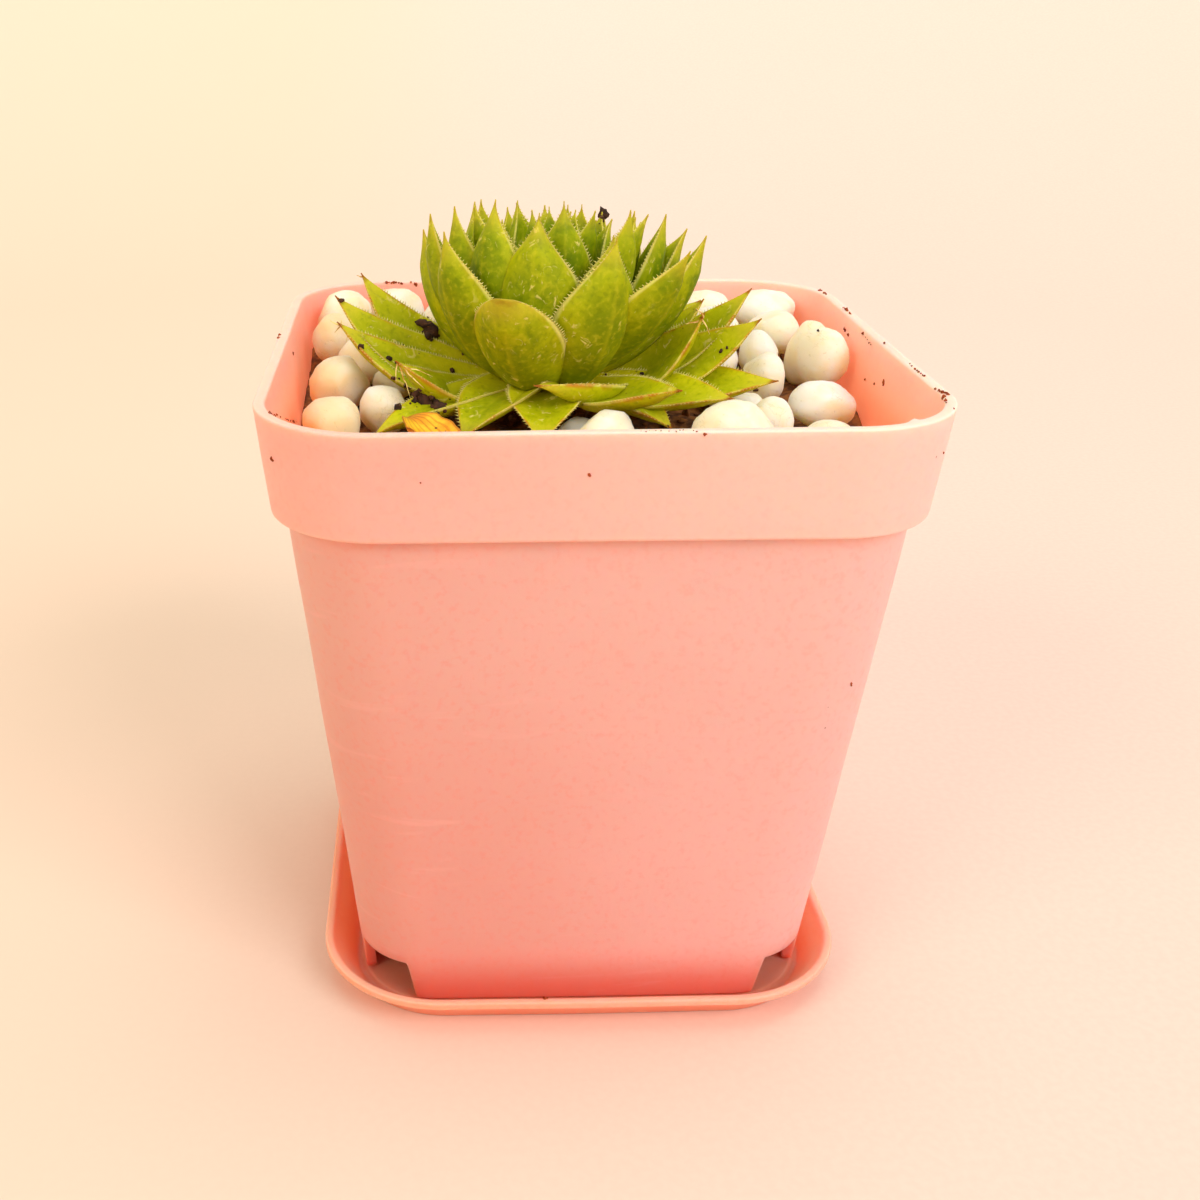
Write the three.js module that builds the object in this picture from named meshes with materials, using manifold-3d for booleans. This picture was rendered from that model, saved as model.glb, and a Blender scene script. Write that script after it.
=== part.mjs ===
// Potted hens and chicks: one rosette in a square plastic pot that stands on a saucer.
// Millimetres, +Z up. The origin is the centre of the saucer's underside, and -Y is the front.

import * as THREE from 'three';
import { mergeVertices } from 'three/addons/utils/BufferGeometryUtils.js';
import Module from 'manifold-3d';

const wasm = await Module();
wasm.setup();

// Driving dimensions. Each half is half of a rounded square's width.
const GAP = 0.3;
const CORNER_STEPS = 6;

const SAUCER = {
  baseHalf: 31.5,
  baseRadius: 13,
  lipHalf: 35.5,
  lipRadius: 16.5,
  lipTop: 5.2,
  lipHeight: 1,
  lipWidth: 1,
  platformHalf: 30.6,
  platformRadius: 12,
  platformTop: 1.4,
  floorTop: 0.9,
};

const POT = {
  foot: SAUCER.platformTop + GAP,
  footHalf: 30,
  footRadius: 10,
  bodyTop: 71,
  bodyHalf: 37,
  bodyRadius: 12.5,
  bandHalf: 38.5,
  rimHalf: 40,
  rimRadius: 14,
  rim: 84,
  wall: 1.4,
  floor: 1.4,
  notchTop: 7.6,
  notchHalf: 23.6,
  notchTaper: 1,
  drainRadius: 3,
  drainReach: 12,
};

const SOIL = {
  top: 73.2,
  rise: 0.11,
  holeRadius: 3.2,
  holeBottom: 56,
};

const ROSETTE = {
  x: -4,
  y: 2,
  z: 78.5,
  cupLeaves: 44,
  broadLeaves: 16,
  firstTurn: -114,
  goldenAngle: 137.508,
  turnJitter: 8,
  lean: 1.2,
  spread: 16.3,
  tipHeight: 19.4,
  tipRise: 1.8,
};

const STONES = {
  total: 53,
  firstSmall: 60,
  smallScale: 0.72,
  roundness: 2.5,
  trials: 250,
  shifts: 120,
  lift: 0.25,
  highest: 2.2,
  leafGap: 0.9,
  shownLeafGap: 0.4,
  nearby: 16,
  slide: 1,
};

const material = (color, roughness) => new THREE.MeshStandardMaterial({ color, roughness, metalness: 0 });

const FINISHES = {
  saucer: material(0xf58a78, 0.45),
  pot: material(0xffa795, 0.45),
  soil: material(0x3a2417, 0.95),
  leaf: material(0x8aa52e, 0.5),
  withered: material(0xe0a21c, 0.8),
  stone: material(0xfff0cf, 0.6),
};

// The same number from 0 to 1 every time for one seed and one key.
function chance(seed, key) {
  const value = Math.sin(seed * 127.1 + key * 311.7) * 43758.5453;
  return value - Math.floor(value);
}

function range(low, high, seed, key) {
  return low + (high - low) * chance(seed, key);
}

// A closed three.js geometry as a solid, without the flat triangles at a lathe's axis.
function solid(geometry) {
  const bare = geometry.clone();
  bare.deleteAttribute('normal');
  bare.deleteAttribute('uv');
  const merged = mergeVertices(bare, 1e-4);
  const corners = merged.index.array;
  const kept = [];
  for (let i = 0; i < corners.length; i += 3) {
    const [a, b, c] = [corners[i], corners[i + 1], corners[i + 2]];
    if (a !== b && b !== c && c !== a) kept.push(a, b, c);
  }
  return new wasm.Manifold(new wasm.Mesh({
    numProp: 3,
    vertProperties: new Float32Array(merged.attributes.position.array),
    triVerts: new Uint32Array(kept),
  }));
}

// One named piece from a solid.
function piece(name, finish, shape) {
  const { vertProperties, triVerts } = shape.getMesh();
  const geometry = new THREE.BufferGeometry();
  geometry.setAttribute('position', new THREE.BufferAttribute(new Float32Array(vertProperties), 3));
  geometry.setIndex(new THREE.BufferAttribute(new Uint32Array(triVerts), 1));
  geometry.computeVertexNormals();
  const mesh = new THREE.Mesh(geometry, FINISHES[finish]);
  mesh.name = name;
  return mesh;
}

// A lathe whose circles become rounded squares. Each row is [half width, corner radius, z].
function squareLathe(rows) {
  const perCorner = CORNER_STEPS + 1;
  const sides = 4 * perCorner;
  const geometry = new THREE.LatheGeometry(rows.map(([half, , z]) => new THREE.Vector2(half, z)), sides);
  for (let side = 0; side <= sides; side += 1) {
    const corner = Math.floor(side / perCorner) % 4;
    const angle = (corner + (side % perCorner) / CORNER_STEPS) * (Math.PI / 2);
    const signX = corner === 0 || corner === 3 ? 1 : -1;
    const signY = corner < 2 ? 1 : -1;
    rows.forEach(([half, radius, z], row) => {
      const x = signX * (half - radius) + radius * Math.cos(angle);
      const y = signY * (half - radius) + radius * Math.sin(angle);
      geometry.attributes.position.setXYZ(side * rows.length + row, x, y, z);
    });
  }
  return solid(geometry);
}

// A turned solid about +Z. Each row is [radius, z], from the axis at the bottom to the axis at the top.
function turned(rows, sides) {
  const geometry = new THREE.LatheGeometry(rows.map(([radius, z]) => new THREE.Vector2(radius, z)), sides);
  geometry.rotateX(Math.PI / 2);
  return solid(geometry);
}

function between(low, high, share) {
  return low + (high - low) * share;
}

// The pot's outer half width and corner radius on its tapered body, at a height.
function bodyAt(z) {
  const share = (z - POT.foot) / (POT.bodyTop - POT.foot);
  return [between(POT.footHalf, POT.bodyHalf, share), between(POT.footRadius, POT.bodyRadius, share)];
}

// The same on the band round the pot's mouth.
function bandAt(z) {
  const share = (z - POT.bodyTop) / (POT.rim - POT.bodyTop);
  return [between(POT.bandHalf, POT.rimHalf, share), between(POT.bodyRadius, POT.rimRadius, share)];
}

// A row of a square lathe that lies a set depth inside the pot's outer face.
function insetRow(at, z, depth) {
  const [half, radius] = at(z);
  return [half - depth, radius - depth, z];
}

function saucer() {
  const s = SAUCER;
  const edge = 0.4;
  const lipInner = s.lipHalf - s.lipWidth;
  return squareLathe([
    [0, 0, 0],
    [s.baseHalf - edge, s.baseRadius - edge, 0],
    [s.baseHalf, s.baseRadius, edge],
    [s.lipHalf - 1.1, s.lipRadius - 1.1, s.lipTop - s.lipHeight],
    [s.lipHalf - 0.2, s.lipRadius - 0.2, s.lipTop - s.lipHeight],
    [s.lipHalf, s.lipRadius, s.lipTop - s.lipHeight + 0.2],
    [s.lipHalf, s.lipRadius, s.lipTop - 0.2],
    [s.lipHalf - 0.2, s.lipRadius - 0.2, s.lipTop],
    [lipInner, s.lipRadius - s.lipWidth, s.lipTop],
    [lipInner - 0.4, s.lipRadius - s.lipWidth - 0.4, s.lipTop - 0.4],
    [s.platformHalf + 1, s.platformRadius + 1, s.floorTop + 0.5],
    [s.platformHalf + 0.5, s.platformRadius + 0.5, s.floorTop],
    [s.platformHalf, s.platformRadius, s.floorTop + 0.1],
    [s.platformHalf - 0.3, s.platformRadius - 0.3, s.platformTop - 0.1],
    [s.platformHalf - 0.8, s.platformRadius - 0.8, s.platformTop],
    [0, 0, s.platformTop],
  ]);
}

// The opening at one foot corner: a block whose two inner faces lean with the skirt's ends.
function cornerNotch(signX, signY) {
  const depth = 20;
  const height = POT.notchTop - POT.foot + 1;
  const block = new THREE.BoxGeometry(depth, depth, height);
  const place = block.attributes.position;
  for (let i = 0; i < place.count; i += 1) {
    const inner = place.getZ(i) > 0 ? POT.notchHalf : POT.notchHalf - POT.notchTaper;
    const x = place.getX(i) * signX > 0 ? POT.notchHalf + depth : inner;
    const y = place.getY(i) * signY > 0 ? POT.notchHalf + depth : inner;
    place.setXYZ(i, signX * x, signY * y, place.getZ(i) + POT.notchTop - height / 2);
  }
  return solid(block);
}

function drainHole(x, y) {
  const hole = new THREE.CylinderGeometry(POT.drainRadius, POT.drainRadius, 3 * POT.floor, 16);
  hole.rotateX(Math.PI / 2);
  hole.translate(x, y, POT.notchTop + POT.floor / 2);
  return solid(hole);
}

function pot() {
  const edge = 0.4;
  const floorTop = POT.notchTop + POT.floor;
  let shape = squareLathe([
    [0, 0, POT.notchTop],
    insetRow(bodyAt, POT.notchTop, POT.wall),
    insetRow(bodyAt, POT.foot, POT.wall),
    insetRow(bodyAt, POT.foot, 0.2),
    insetRow(bodyAt, POT.foot + 0.2, 0),
    insetRow(bodyAt, POT.bodyTop, 0),
    insetRow(bandAt, POT.bodyTop, edge),
    insetRow(bandAt, POT.bodyTop + edge, 0),
    insetRow(bandAt, POT.rim - edge, 0),
    insetRow(bandAt, POT.rim, edge),
    insetRow(bandAt, POT.rim, POT.wall - edge),
    insetRow(bandAt, POT.rim - edge, POT.wall),
    insetRow(bandAt, POT.bodyTop + 1, POT.wall),
    insetRow(bodyAt, POT.bodyTop - 1, POT.wall),
    insetRow(bodyAt, floorTop + 1, POT.wall),
    insetRow(bodyAt, floorTop, POT.wall + 1),
    [0, 0, floorTop],
  ]);
  for (const signX of [-1, 1]) {
    for (const signY of [-1, 1]) {
      shape = shape.subtract(cornerNotch(signX, signY));
      shape = shape.subtract(drainHole(signX * POT.drainReach, signY * POT.drainReach));
    }
  }
  return shape.subtract(drainHole(0, 0));
}

// The soil's surface is a plane that rises to the back.
function soilTop(y) {
  return SOIL.top + SOIL.rise * y;
}

// Soil fills the pot and has a plain hole for the root.
function soil() {
  const floorTop = POT.notchTop + POT.floor;
  const depth = POT.wall + GAP;
  const filled = squareLathe([
    [0, 0, floorTop + GAP],
    insetRow(bodyAt, floorTop + GAP, depth + 1),
    insetRow(bodyAt, floorTop + 1 + GAP, depth),
    insetRow(bodyAt, POT.bodyTop - 1, depth),
    insetRow(bandAt, POT.bodyTop + 1, depth),
    insetRow(bandAt, POT.rim - 1, depth),
    [0, 0, POT.rim - 1],
  ]);
  const above = new THREE.BoxGeometry(4 * POT.rimHalf, 4 * POT.rimHalf, POT.rim);
  above.translate(0, 0, POT.rim / 2);
  above.rotateX(Math.atan(SOIL.rise));
  above.translate(0, 0, SOIL.top);
  const hole = turned([
    [0, SOIL.holeBottom],
    [SOIL.holeRadius, SOIL.holeBottom],
    [SOIL.holeRadius, POT.rim],
    [0, POT.rim],
  ], 16);
  return filled.subtract(solid(above)).subtract(hole.translate([ROSETTE.x, ROSETTE.y, 0]));
}

// Share of a leaf's full width at a share t of its length: it swells from the heel to the shoulder,
// then narrows to a drawn-out point.
function leafOutline(leaf, t) {
  if (t < leaf.shoulder) {
    return leaf.heel + (1 - leaf.heel) * Math.sin((Math.PI / 2) * (t / leaf.shoulder)) ** 1.2;
  }
  const past = (t - leaf.shoulder) / (1 - leaf.shoulder);
  return (1 - past ** 2) ** leaf.point;
}

// A point of a leaf in the rosette's frame. The midrib is a circular arc that leaves the stem at the
// launch angle and ends at the tip. t runs along it, v runs across from -1 to 1, and the upper face
// is cupped by the square of v. The blade rolls over sideways in the first half of its length.
function leafPoint(leaf, t, v, upper) {
  const turn = THREE.MathUtils.degToRad(leaf.turn);
  const launch = THREE.MathUtils.degToRad(leaf.launch);
  const run = leaf.reach - leaf.rootReach;
  const climb = leaf.height - leaf.rootHeight;
  const sweep = 2 * (Math.atan2(climb, run) - launch) || 1e-3;
  const length = Math.hypot(run, climb) * (sweep / 2) / Math.sin(sweep / 2);
  const angle = launch + sweep * t;
  const half = Math.max((leaf.width / 2) * leafOutline(leaf, t), 0.3);
  const flare = 0.9 * Math.max((t - 0.75) / 0.25, 0) ** 2;
  const body = 0.4 + 0.6 * Math.sin(Math.PI * (0.85 * t + 0.15)) ** 0.8;
  const flesh = leaf.thick * body * Math.min(1, 5 * (1 - t) + 0.1);
  const depth = upper ? 0 : leaf.edge + flesh * (1 - v * v) ** 0.75;
  const above = leaf.cup * half * v * v - depth - flare;
  const out = leaf.rootReach + (length * (Math.sin(angle) - Math.sin(launch))) / sweep;
  const up = leaf.rootHeight + (length * (Math.cos(launch) - Math.cos(angle))) / sweep;
  const roll = THREE.MathUtils.degToRad(leaf.roll) * Math.sin((Math.PI / 2) * Math.min(1, 2 * t));
  const lift = above * Math.cos(roll) + half * v * Math.sin(roll);
  const radial = out - lift * Math.sin(angle);
  const side = 4 * t * (1 - t) * leaf.bend + half * v * Math.cos(roll) - above * Math.sin(roll);
  return new THREE.Vector3(
    radial * Math.cos(turn) - side * Math.sin(turn),
    radial * Math.sin(turn) + side * Math.cos(turn),
    up + lift * Math.cos(angle),
  );
}

// A leaf's solid: a closed cylinder whose rings become the leaf's sections.
function leafSolid(leaf) {
  const { spans, stations } = leaf;
  const perFace = spans + 1;
  const sides = 2 * perFace;
  const geometry = new THREE.CylinderGeometry(1, 1, 1, sides, stations.length - 1);
  const place = geometry.attributes.position;
  for (let i = 0; i < place.count; i += 1) {
    const [x, y, z] = [place.getX(i), place.getY(i), place.getZ(i)];
    const t = stations[Math.round((y + 0.5) * (stations.length - 1))];
    let point;
    if (Math.hypot(x, z) < 0.5) {
      point = leafPoint(leaf, t, 0, true).add(leafPoint(leaf, t, 0, false)).multiplyScalar(0.5);
    } else {
      const k = Math.round((Math.atan2(x, z) / (2 * Math.PI)) * sides + sides) % sides;
      const upper = k < perFace;
      const step = upper ? k : sides - 1 - k;
      point = leafPoint(leaf, t, 1 - (2 * step) / spans, upper);
    }
    place.setXYZ(i, point.x, point.y, point.z);
  }
  return solid(geometry);
}

const BROAD = { spans: 4, stations: [0, 0.28, 0.5, 0.68, 0.85, 1] };
const SLIM = { spans: 2, stations: [0, 0.35, 0.62, 0.83, 1] };

// Leaves of the cup whose tips have their own places:
// leaf number, turn, reach, tip height, width, sideways bend and point.
const CUP_CHANGES = [
  [0, -112, 18.3, 14.7, 11.7, 0, 0.55],
  [1, 18, 14.2, 18.6, 10.4, 0, 1.75],
  [2, 165, 16.2, 18.7, 10.2, 0, 1.75],
  [3, -64.5, 14.2, 20.6, 11.4, -1.1, 1.75],
  [5, -141, 17.1, 21.1, 10.4, 0, 1.75],
  [6, -8, 18.4, 19.2, 9.8, 0, 1.75],
  [8, -103, 10.9, 22.8, 11.2, -0.3, 1.75],
  [10, 179, 14.7, 21.3, 9, 0, 1.75],
  [11, -41, 19.5, 19.4, 10.8, 0, 1.75],
  [13, -132, 10.7, 24, 9.6, 0, 1.75],
  [14, 10, 17, 19.2, 9, 0, 1.75],
  [16, -58, 11.3, 20.3, 9, 0, 1.75],
  [18, -158, 12.7, 23, 8.8, 0, 1.75],
  [19, -6, 13.2, 21.5, 8.4, 0, 1.75],
  [24, -42, 10.8, 22.9, 8, 0, 1.75],
  [29, -86, 7.2, 23.8, 7.6, 0, 1.75],
  [31, -162, 9.8, 23, 7, 0, 1.75],
  [32, -21, 11.3, 22.2, 7, 0, 1.75],
  [37, -49, 6.2, 22.6, 5.6, 0, 1.75],
];

// The cup: leaves at the golden angle, each higher and steeper than the one before.
function cupLeaf(number) {
  const s = number / (ROSETTE.cupLeaves - 1);
  const jitter = ROSETTE.turnJitter * (chance(number, 2) - 0.5);
  const angle = THREE.MathUtils.degToRad(ROSETTE.firstTurn + ROSETTE.goldenAngle * number + jitter);
  const spread = ROSETTE.spread * (1 - s) ** 0.6;
  const x = spread * Math.cos(angle) + ROSETTE.lean;
  const y = spread * Math.sin(angle);
  const rule = [
    number,
    THREE.MathUtils.radToDeg(Math.atan2(y, x)),
    Math.hypot(x, y),
    ROSETTE.tipHeight + ROSETTE.tipRise * s + chance(number, 1) - 0.07 * x,
    10.6 - 4.4 * s - 2.6 * s ** 4,
    0,
    1.75,
  ];
  const [, turn, reach, height, width, bend, point] = CUP_CHANGES.find(([index]) => index === number) ?? rule;
  return {
    ...(number < ROSETTE.broadLeaves ? BROAD : SLIM),
    turn,
    reach,
    height,
    launch: 14 + 24 * s + 45 * s ** 6,
    width,
    thick: 1.9 - s,
    edge: 0.6,
    cup: 0.32,
    bend,
    roll: 0,
    rootReach: 3.3 - 3 * s,
    rootHeight: 0.5 + 7.5 * s,
    shoulder: 0.58,
    heel: 0.55,
    point,
  };
}

// The older leaves below the cup: turn, reach, tip height, launch angle, width, sideways bend and roll.
const SKIRT = [
  [163, 25.6, 12.8, -9, 7.8, 1, -28],
  [175, 27.8, 11, -12, 8.4, 1, -30],
  [-178, 27.3, 8.4, -17, 8.2, 1.5, -26],
  [-152, 22, 5.8, -26, 9.2, 0, -12],
  [-146, 28, -2, 0, 7.4, 0, 0],
  [-125, 21.5, -2.2, 10, 9.4, 0, 0],
  [-97, 20.5, -2, 10, 9.6, 0, 0],
  [-101, 17, 4.6, -5, 9.4, 6, 0],
  [-57, 25, 5, -6, 8.2, -1, 15],
  [-22, 19.3, 10.4, -12, 8.8, 0, 36],
  [4, 19.5, 10.5, -4, 6.6, 0, 22],
  [-5, 25, 12.6, -5, 7.6, 0, 30],
  [-15, 26.4, 9.8, -9, 8.8, 0, 38],
  [-23, 29.8, 3.4, -8, 8.6, 0, 24],
  [-37, 26.5, 2.4, -6, 8.4, 0, 20],
  [-49, 21.6, -1.4, 5, 6.8, 0, 8],
  [28, 24, 8.5, 0, 8, 0, 12],
  [55, 26, 10, 5, 8, 1, 0],
  [82, 24, 9, 5, 8.4, 0, -8],
  [108, 26, 10.5, 5, 8, -1, 10],
  [137, 20, 9.5, 2, 8.2, 0, -10],
];

function skirtLeaf([turn, reach, height, launch, width, bend, roll]) {
  return {
    ...BROAD,
    turn,
    reach,
    height,
    launch,
    width,
    thick: 1.4,
    edge: 0.6,
    cup: 0.25,
    bend,
    roll,
    rootReach: 2,
    rootHeight: 0.5,
    shoulder: 0.5,
    heel: 0.62,
    point: 1.25,
  };
}

// The largest body of a fused solid, without sealed gaps and loose scraps.
function outerBody(shape) {
  const bodies = shape.decompose();
  return bodies.reduce((best, body) => (body.volume() > best.volume() ? body : best));
}

// Root, short stem and the core that the leaves grow from, in the rosette's frame.
function stem() {
  return turned([
    [0, -21.5],
    [1.2, -21],
    [2.3, -16],
    [2.8, -6],
    [3.2, -2.5],
    [4.6, -0.5],
    [6.8, 2],
    [7, 6],
    [5.4, 9.5],
    [0, 12],
  ], 14);
}

function rosette() {
  const cup = Array.from({ length: ROSETTE.cupLeaves }, (_, number) => cupLeaf(number));
  const leaves = [...cup, ...SKIRT.map(skirtLeaf)];
  const fused = leaves.reduce((shape, leaf) => shape.add(leafSolid(leaf)), stem());
  return outerBody(fused).translate([ROSETTE.x, ROSETTE.y, ROSETTE.z]);
}

// A dropped yellow leaf that lies between the front wall and the living leaves.
function witheredLeaf() {
  const base = [-15.5, -25, 73];
  const reachX = -7.2;
  const reachY = 11.6;
  const leaf = {
    ...BROAD,
    turn: THREE.MathUtils.radToDeg(Math.atan2(reachY, reachX)),
    reach: Math.hypot(reachX, reachY),
    height: 5.8,
    launch: 35,
    width: 7,
    thick: 0.3,
    edge: 0.6,
    cup: 0.5,
    bend: 0.6,
    roll: 0,
    rootReach: 0,
    rootHeight: 0,
    shoulder: 0.45,
    heel: 0.5,
    point: 0.8,
  };
  return leafSolid(leaf).translate(base);
}

// Stones that show in front: x, y, three half sizes and turn. A second row makes a second lobe.
const SHOWN_STONES = [
  [[-33.2, 19.8, 3.9, 4.6, 3.9, 10]],
  [[-32.1, 3.4, 4, 5, 3.8, -15]],
  [[-32.4, -9.8, 3.9, 4.4, 3.6, 8]],
  [[-25.9, -4.8, 3.4, 3.4, 3.3, 20]],
  [[1, -18.2, 4.4, 3.7, 4.3, 5]],
  [[16.6, -19, 5.8, 4, 5.1, 5]],
  [[23.2, -10.8, 2.7, 3.4, 3.6, 0]],
  [[25.1, 4.2, 2.9, 3.6, 3.8, 0]],
  [[25.9, 12.2, 2.6, 3.2, 3.8, 20]],
  [[18.6, 11.4, 4.3, 4.2, 4, 15]],
  [[21.3, 21.5, 3.9, 4.6, 4, -30]],
  [[32.6, 12.4, 3.2, 4.2, 4.6, -10], [33.8, 7.8, 3.2, 4.2, 3.8, 25]],
  [[31, -4.4, 4.8, 3.8, 3.4, -5]],
  [[29.2, -15.6, 4, 3.3, 3, 10]],
];

// The corners of a finely split icosahedron, as directions.
const DIRECTIONS = pointsOf(mergeVertices(bareIcosahedron(), 1e-4));

function bareIcosahedron() {
  const geometry = new THREE.IcosahedronGeometry(1, 1);
  geometry.deleteAttribute('normal');
  geometry.deleteAttribute('uv');
  return geometry;
}

function pointsOf(geometry) {
  const place = geometry.attributes.position;
  return Array.from({ length: place.count }, (_, i) => new THREE.Vector3().fromBufferAttribute(place, i));
}

function lobe([x, y, halfX, halfY, halfZ, turn]) {
  return { x, y, half: [halfX, halfY, halfZ], turn: THREE.MathUtils.degToRad(turn) };
}

// True where a point lies within a margin of the rounded block that holds a lobe at height z.
function touches(part, z, point, margin) {
  const [dx, dy, dz] = [point.x - part.x, point.y - part.y, point.z - z];
  const reach = 1.3 * Math.max(part.half[0], part.half[1]) + margin;
  if (Math.abs(dx) > reach || Math.abs(dy) > reach || Math.abs(dz) > part.half[2] + margin) return false;
  const [c, s] = [Math.cos(part.turn), Math.sin(part.turn)];
  const along = Math.abs((c * dx + s * dy) / (part.half[0] + margin)) ** STONES.roundness;
  const across = Math.abs((c * dy - s * dx) / (part.half[1] + margin)) ** STONES.roundness;
  return along + across + Math.abs(dz / (part.half[2] + margin)) ** STONES.roundness < 1;
}

// A tumbled stone's surface in one direction: a rounded block with shallow dents.
function lobePoint(part, z, seed, n) {
  const p = STONES.roundness;
  const block = (Math.abs(n.x) ** p + Math.abs(n.y) ** p + Math.abs(n.z) ** p) ** (-1 / p);
  const wave = Math.sin(3.1 * n.x + 2.3 * n.y + 7 * seed) * Math.sin(2.7 * n.z - 1.9 * n.y + 3 * seed);
  const out = block * (1 - 0.05 * (1 + wave));
  const [c, s] = [Math.cos(part.turn), Math.sin(part.turn)];
  const [x, y] = [out * part.half[0] * n.x, out * part.half[1] * n.y];
  return new THREE.Vector3(part.x + c * x - s * y, part.y + s * x + c * y, z + out * part.half[2] * n.z);
}

function lobeSolid(part, z, seed) {
  const geometry = bareIcosahedron();
  pointsOf(geometry).forEach((corner, i) => {
    const point = lobePoint(part, z, seed, corner.normalize());
    geometry.attributes.position.setXYZ(i, point.x, point.y, point.z);
  });
  return solid(geometry);
}

// How far a point lies outside the pot's inner wall, negative inside.
function pastWall(point) {
  const [half, radius] = point.z > POT.bodyTop ? bandAt(point.z) : bodyAt(point.z);
  const x = Math.abs(point.x) - half + radius;
  const y = Math.abs(point.y) - half + radius;
  return Math.hypot(Math.max(x, 0), Math.max(y, 0)) + Math.min(Math.max(x, y), 0) - radius + POT.wall;
}

// A stone at rest on the soil or on earlier stones, or null where a wall, a leaf or its height forbids it.
function settle(lobes, seed, placed, leafPoints, leafGap, highest) {
  const { x, y } = lobes[0];
  const near = placed.filter((other) => Math.hypot(other.x - x, other.y - y) < STONES.nearby);
  const start = soilTop(y) + GAP + Math.max(...lobes.map((part) => part.half[2]));
  const atStart = lobes.flatMap((part) => DIRECTIONS.map((n) => lobePoint(part, start, seed, n)));
  if (atStart.some((point) => pastWall(point) > -GAP)) return null;
  for (let z = start; z <= start + highest; z += STONES.lift) {
    const points = atStart.map((point) => point.clone().setZ(point.z + z - start));
    const inStone = (point) => lobes.some((part) => touches(part, z, point, GAP));
    const inOther = (other) => other.points.some(inStone)
      || points.some((point) => other.lobes.some((part) => touches(part, other.z, point, GAP)));
    if (!near.some(inOther) && points.every((point) => point.z > soilTop(point.y) + GAP)) {
      const inLeaf = leafPoints.some((point) => lobes.some((part) => touches(part, z, point, leafGap)));
      return inLeaf ? null : { x, y, z, lobes, seed, points };
    }
  }
  return null;
}

function meanHalf(part) {
  return (part.half[0] + part.half[1]) / 2;
}

// The clear ground beside a stone: the sum of its two smallest gaps to the wall and to other stones.
function clearGround(part, z, placed) {
  const wall = -pastWall(new THREE.Vector3(part.x, part.y, z)) - meanHalf(part);
  const gaps = placed.flatMap((other) => other.lobes.map((near) => (
    Math.hypot(near.x - part.x, near.y - part.y) - meanHalf(near) - meanHalf(part))));
  const [first, second] = [wall, ...gaps].sort((a, b) => a - b);
  return first + second;
}

// A stone at rest with its cost: how high it lies and how much ground stays clear beside it, less its size.
function priced(part, seed, placed, leafPoints) {
  const found = settle([part], seed, placed, leafPoints, STONES.leafGap, STONES.highest);
  if (!found) return null;
  const lift = found.z - soilTop(found.y) - part.half[2];
  return { ...found, cost: 1.5 * lift + clearGround(part, found.z, placed) - 1.5 * meanHalf(part) };
}

// One more stone by a seeded search: the cheapest of many spots, and then small shifts that make it
// cheaper still, so that it lies against its neighbours. Later stones are smaller and fill the gaps.
function findStone(seed, placed, leafPoints) {
  const scale = seed < STONES.firstSmall ? 1 : STONES.smallScale;
  let best = null;
  for (let trial = 0; trial < STONES.trials; trial += 1) {
    const key = 10 * trial;
    const part = lobe([
      range(-POT.bandHalf, POT.bandHalf, seed, key + 1),
      range(-POT.bandHalf, POT.bandHalf, seed, key + 2),
      scale * range(3.6, 5.6, seed, key + 3),
      scale * range(3.6, 5, seed, key + 4),
      scale * range(3.2, 4.2, seed, key + 5),
      range(0, 180, seed, key + 6),
    ]);
    const found = priced(part, seed, placed, leafPoints);
    if (found && (!best || found.cost < best.cost)) best = found;
  }
  for (let shift = 0; best && shift < STONES.shifts; shift += 1) {
    const [part] = best.lobes;
    const x = part.x + range(-STONES.slide, STONES.slide, seed, shift + 0.3);
    const y = part.y + range(-STONES.slide, STONES.slide, seed, shift + 0.6);
    const found = priced({ ...part, x, y }, seed, placed, leafPoints);
    if (found && found.cost < best.cost) best = found;
  }
  return best;
}

function layStones(leafPoints) {
  const placed = [];
  SHOWN_STONES.forEach((rows, number) => {
    const found = settle(rows.map(lobe), number, placed, leafPoints, STONES.shownLeafGap, 2 * STONES.highest);
    if (found) placed.push(found);
  });
  for (let seed = placed.length; placed.length < STONES.total && seed < 2 * STONES.total; seed += 1) {
    const found = findStone(seed, placed, leafPoints);
    if (found) placed.push(found);
  }
  return placed;
}

const object = new THREE.Group();
object.add(piece('saucer', 'saucer', saucer()));
object.add(piece('pot', 'pot', pot()));
object.add(piece('soil', 'soil', soil()));

const plant = piece('rosette', 'leaf', rosette());
const fallen = piece('withered_leaf', 'withered', witheredLeaf());
object.add(plant, fallen);

const leafPoints = [plant, fallen].flatMap((mesh) => pointsOf(mesh.geometry));
layStones(leafPoints).forEach((stone, number) => {
  const parts = stone.lobes.map((part) => lobeSolid(part, stone.z, stone.seed));
  const shape = parts.reduce((sum, part) => sum.add(part));
  object.add(piece(`stone_${String(number + 1).padStart(2, '0')}`, 'stone', shape));
});

export default object;
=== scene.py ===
"""Potted hens and chicks: one leaf rosette among pebbles in a square plastic pot on a saucer.

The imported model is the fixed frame, and each of its nodes gets a finer piece of the same form.
Lengths are millimetres until a mesh is made. +Z is up and -Y is the front.
"""

import logging
import math
from collections.abc import Iterable, Sequence
from dataclasses import dataclass, field, replace
from enum import Enum

import bmesh
import bpy
import numpy as np
from mathutils import Matrix, Vector
from mathutils.bvhtree import BVHTree

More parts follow.
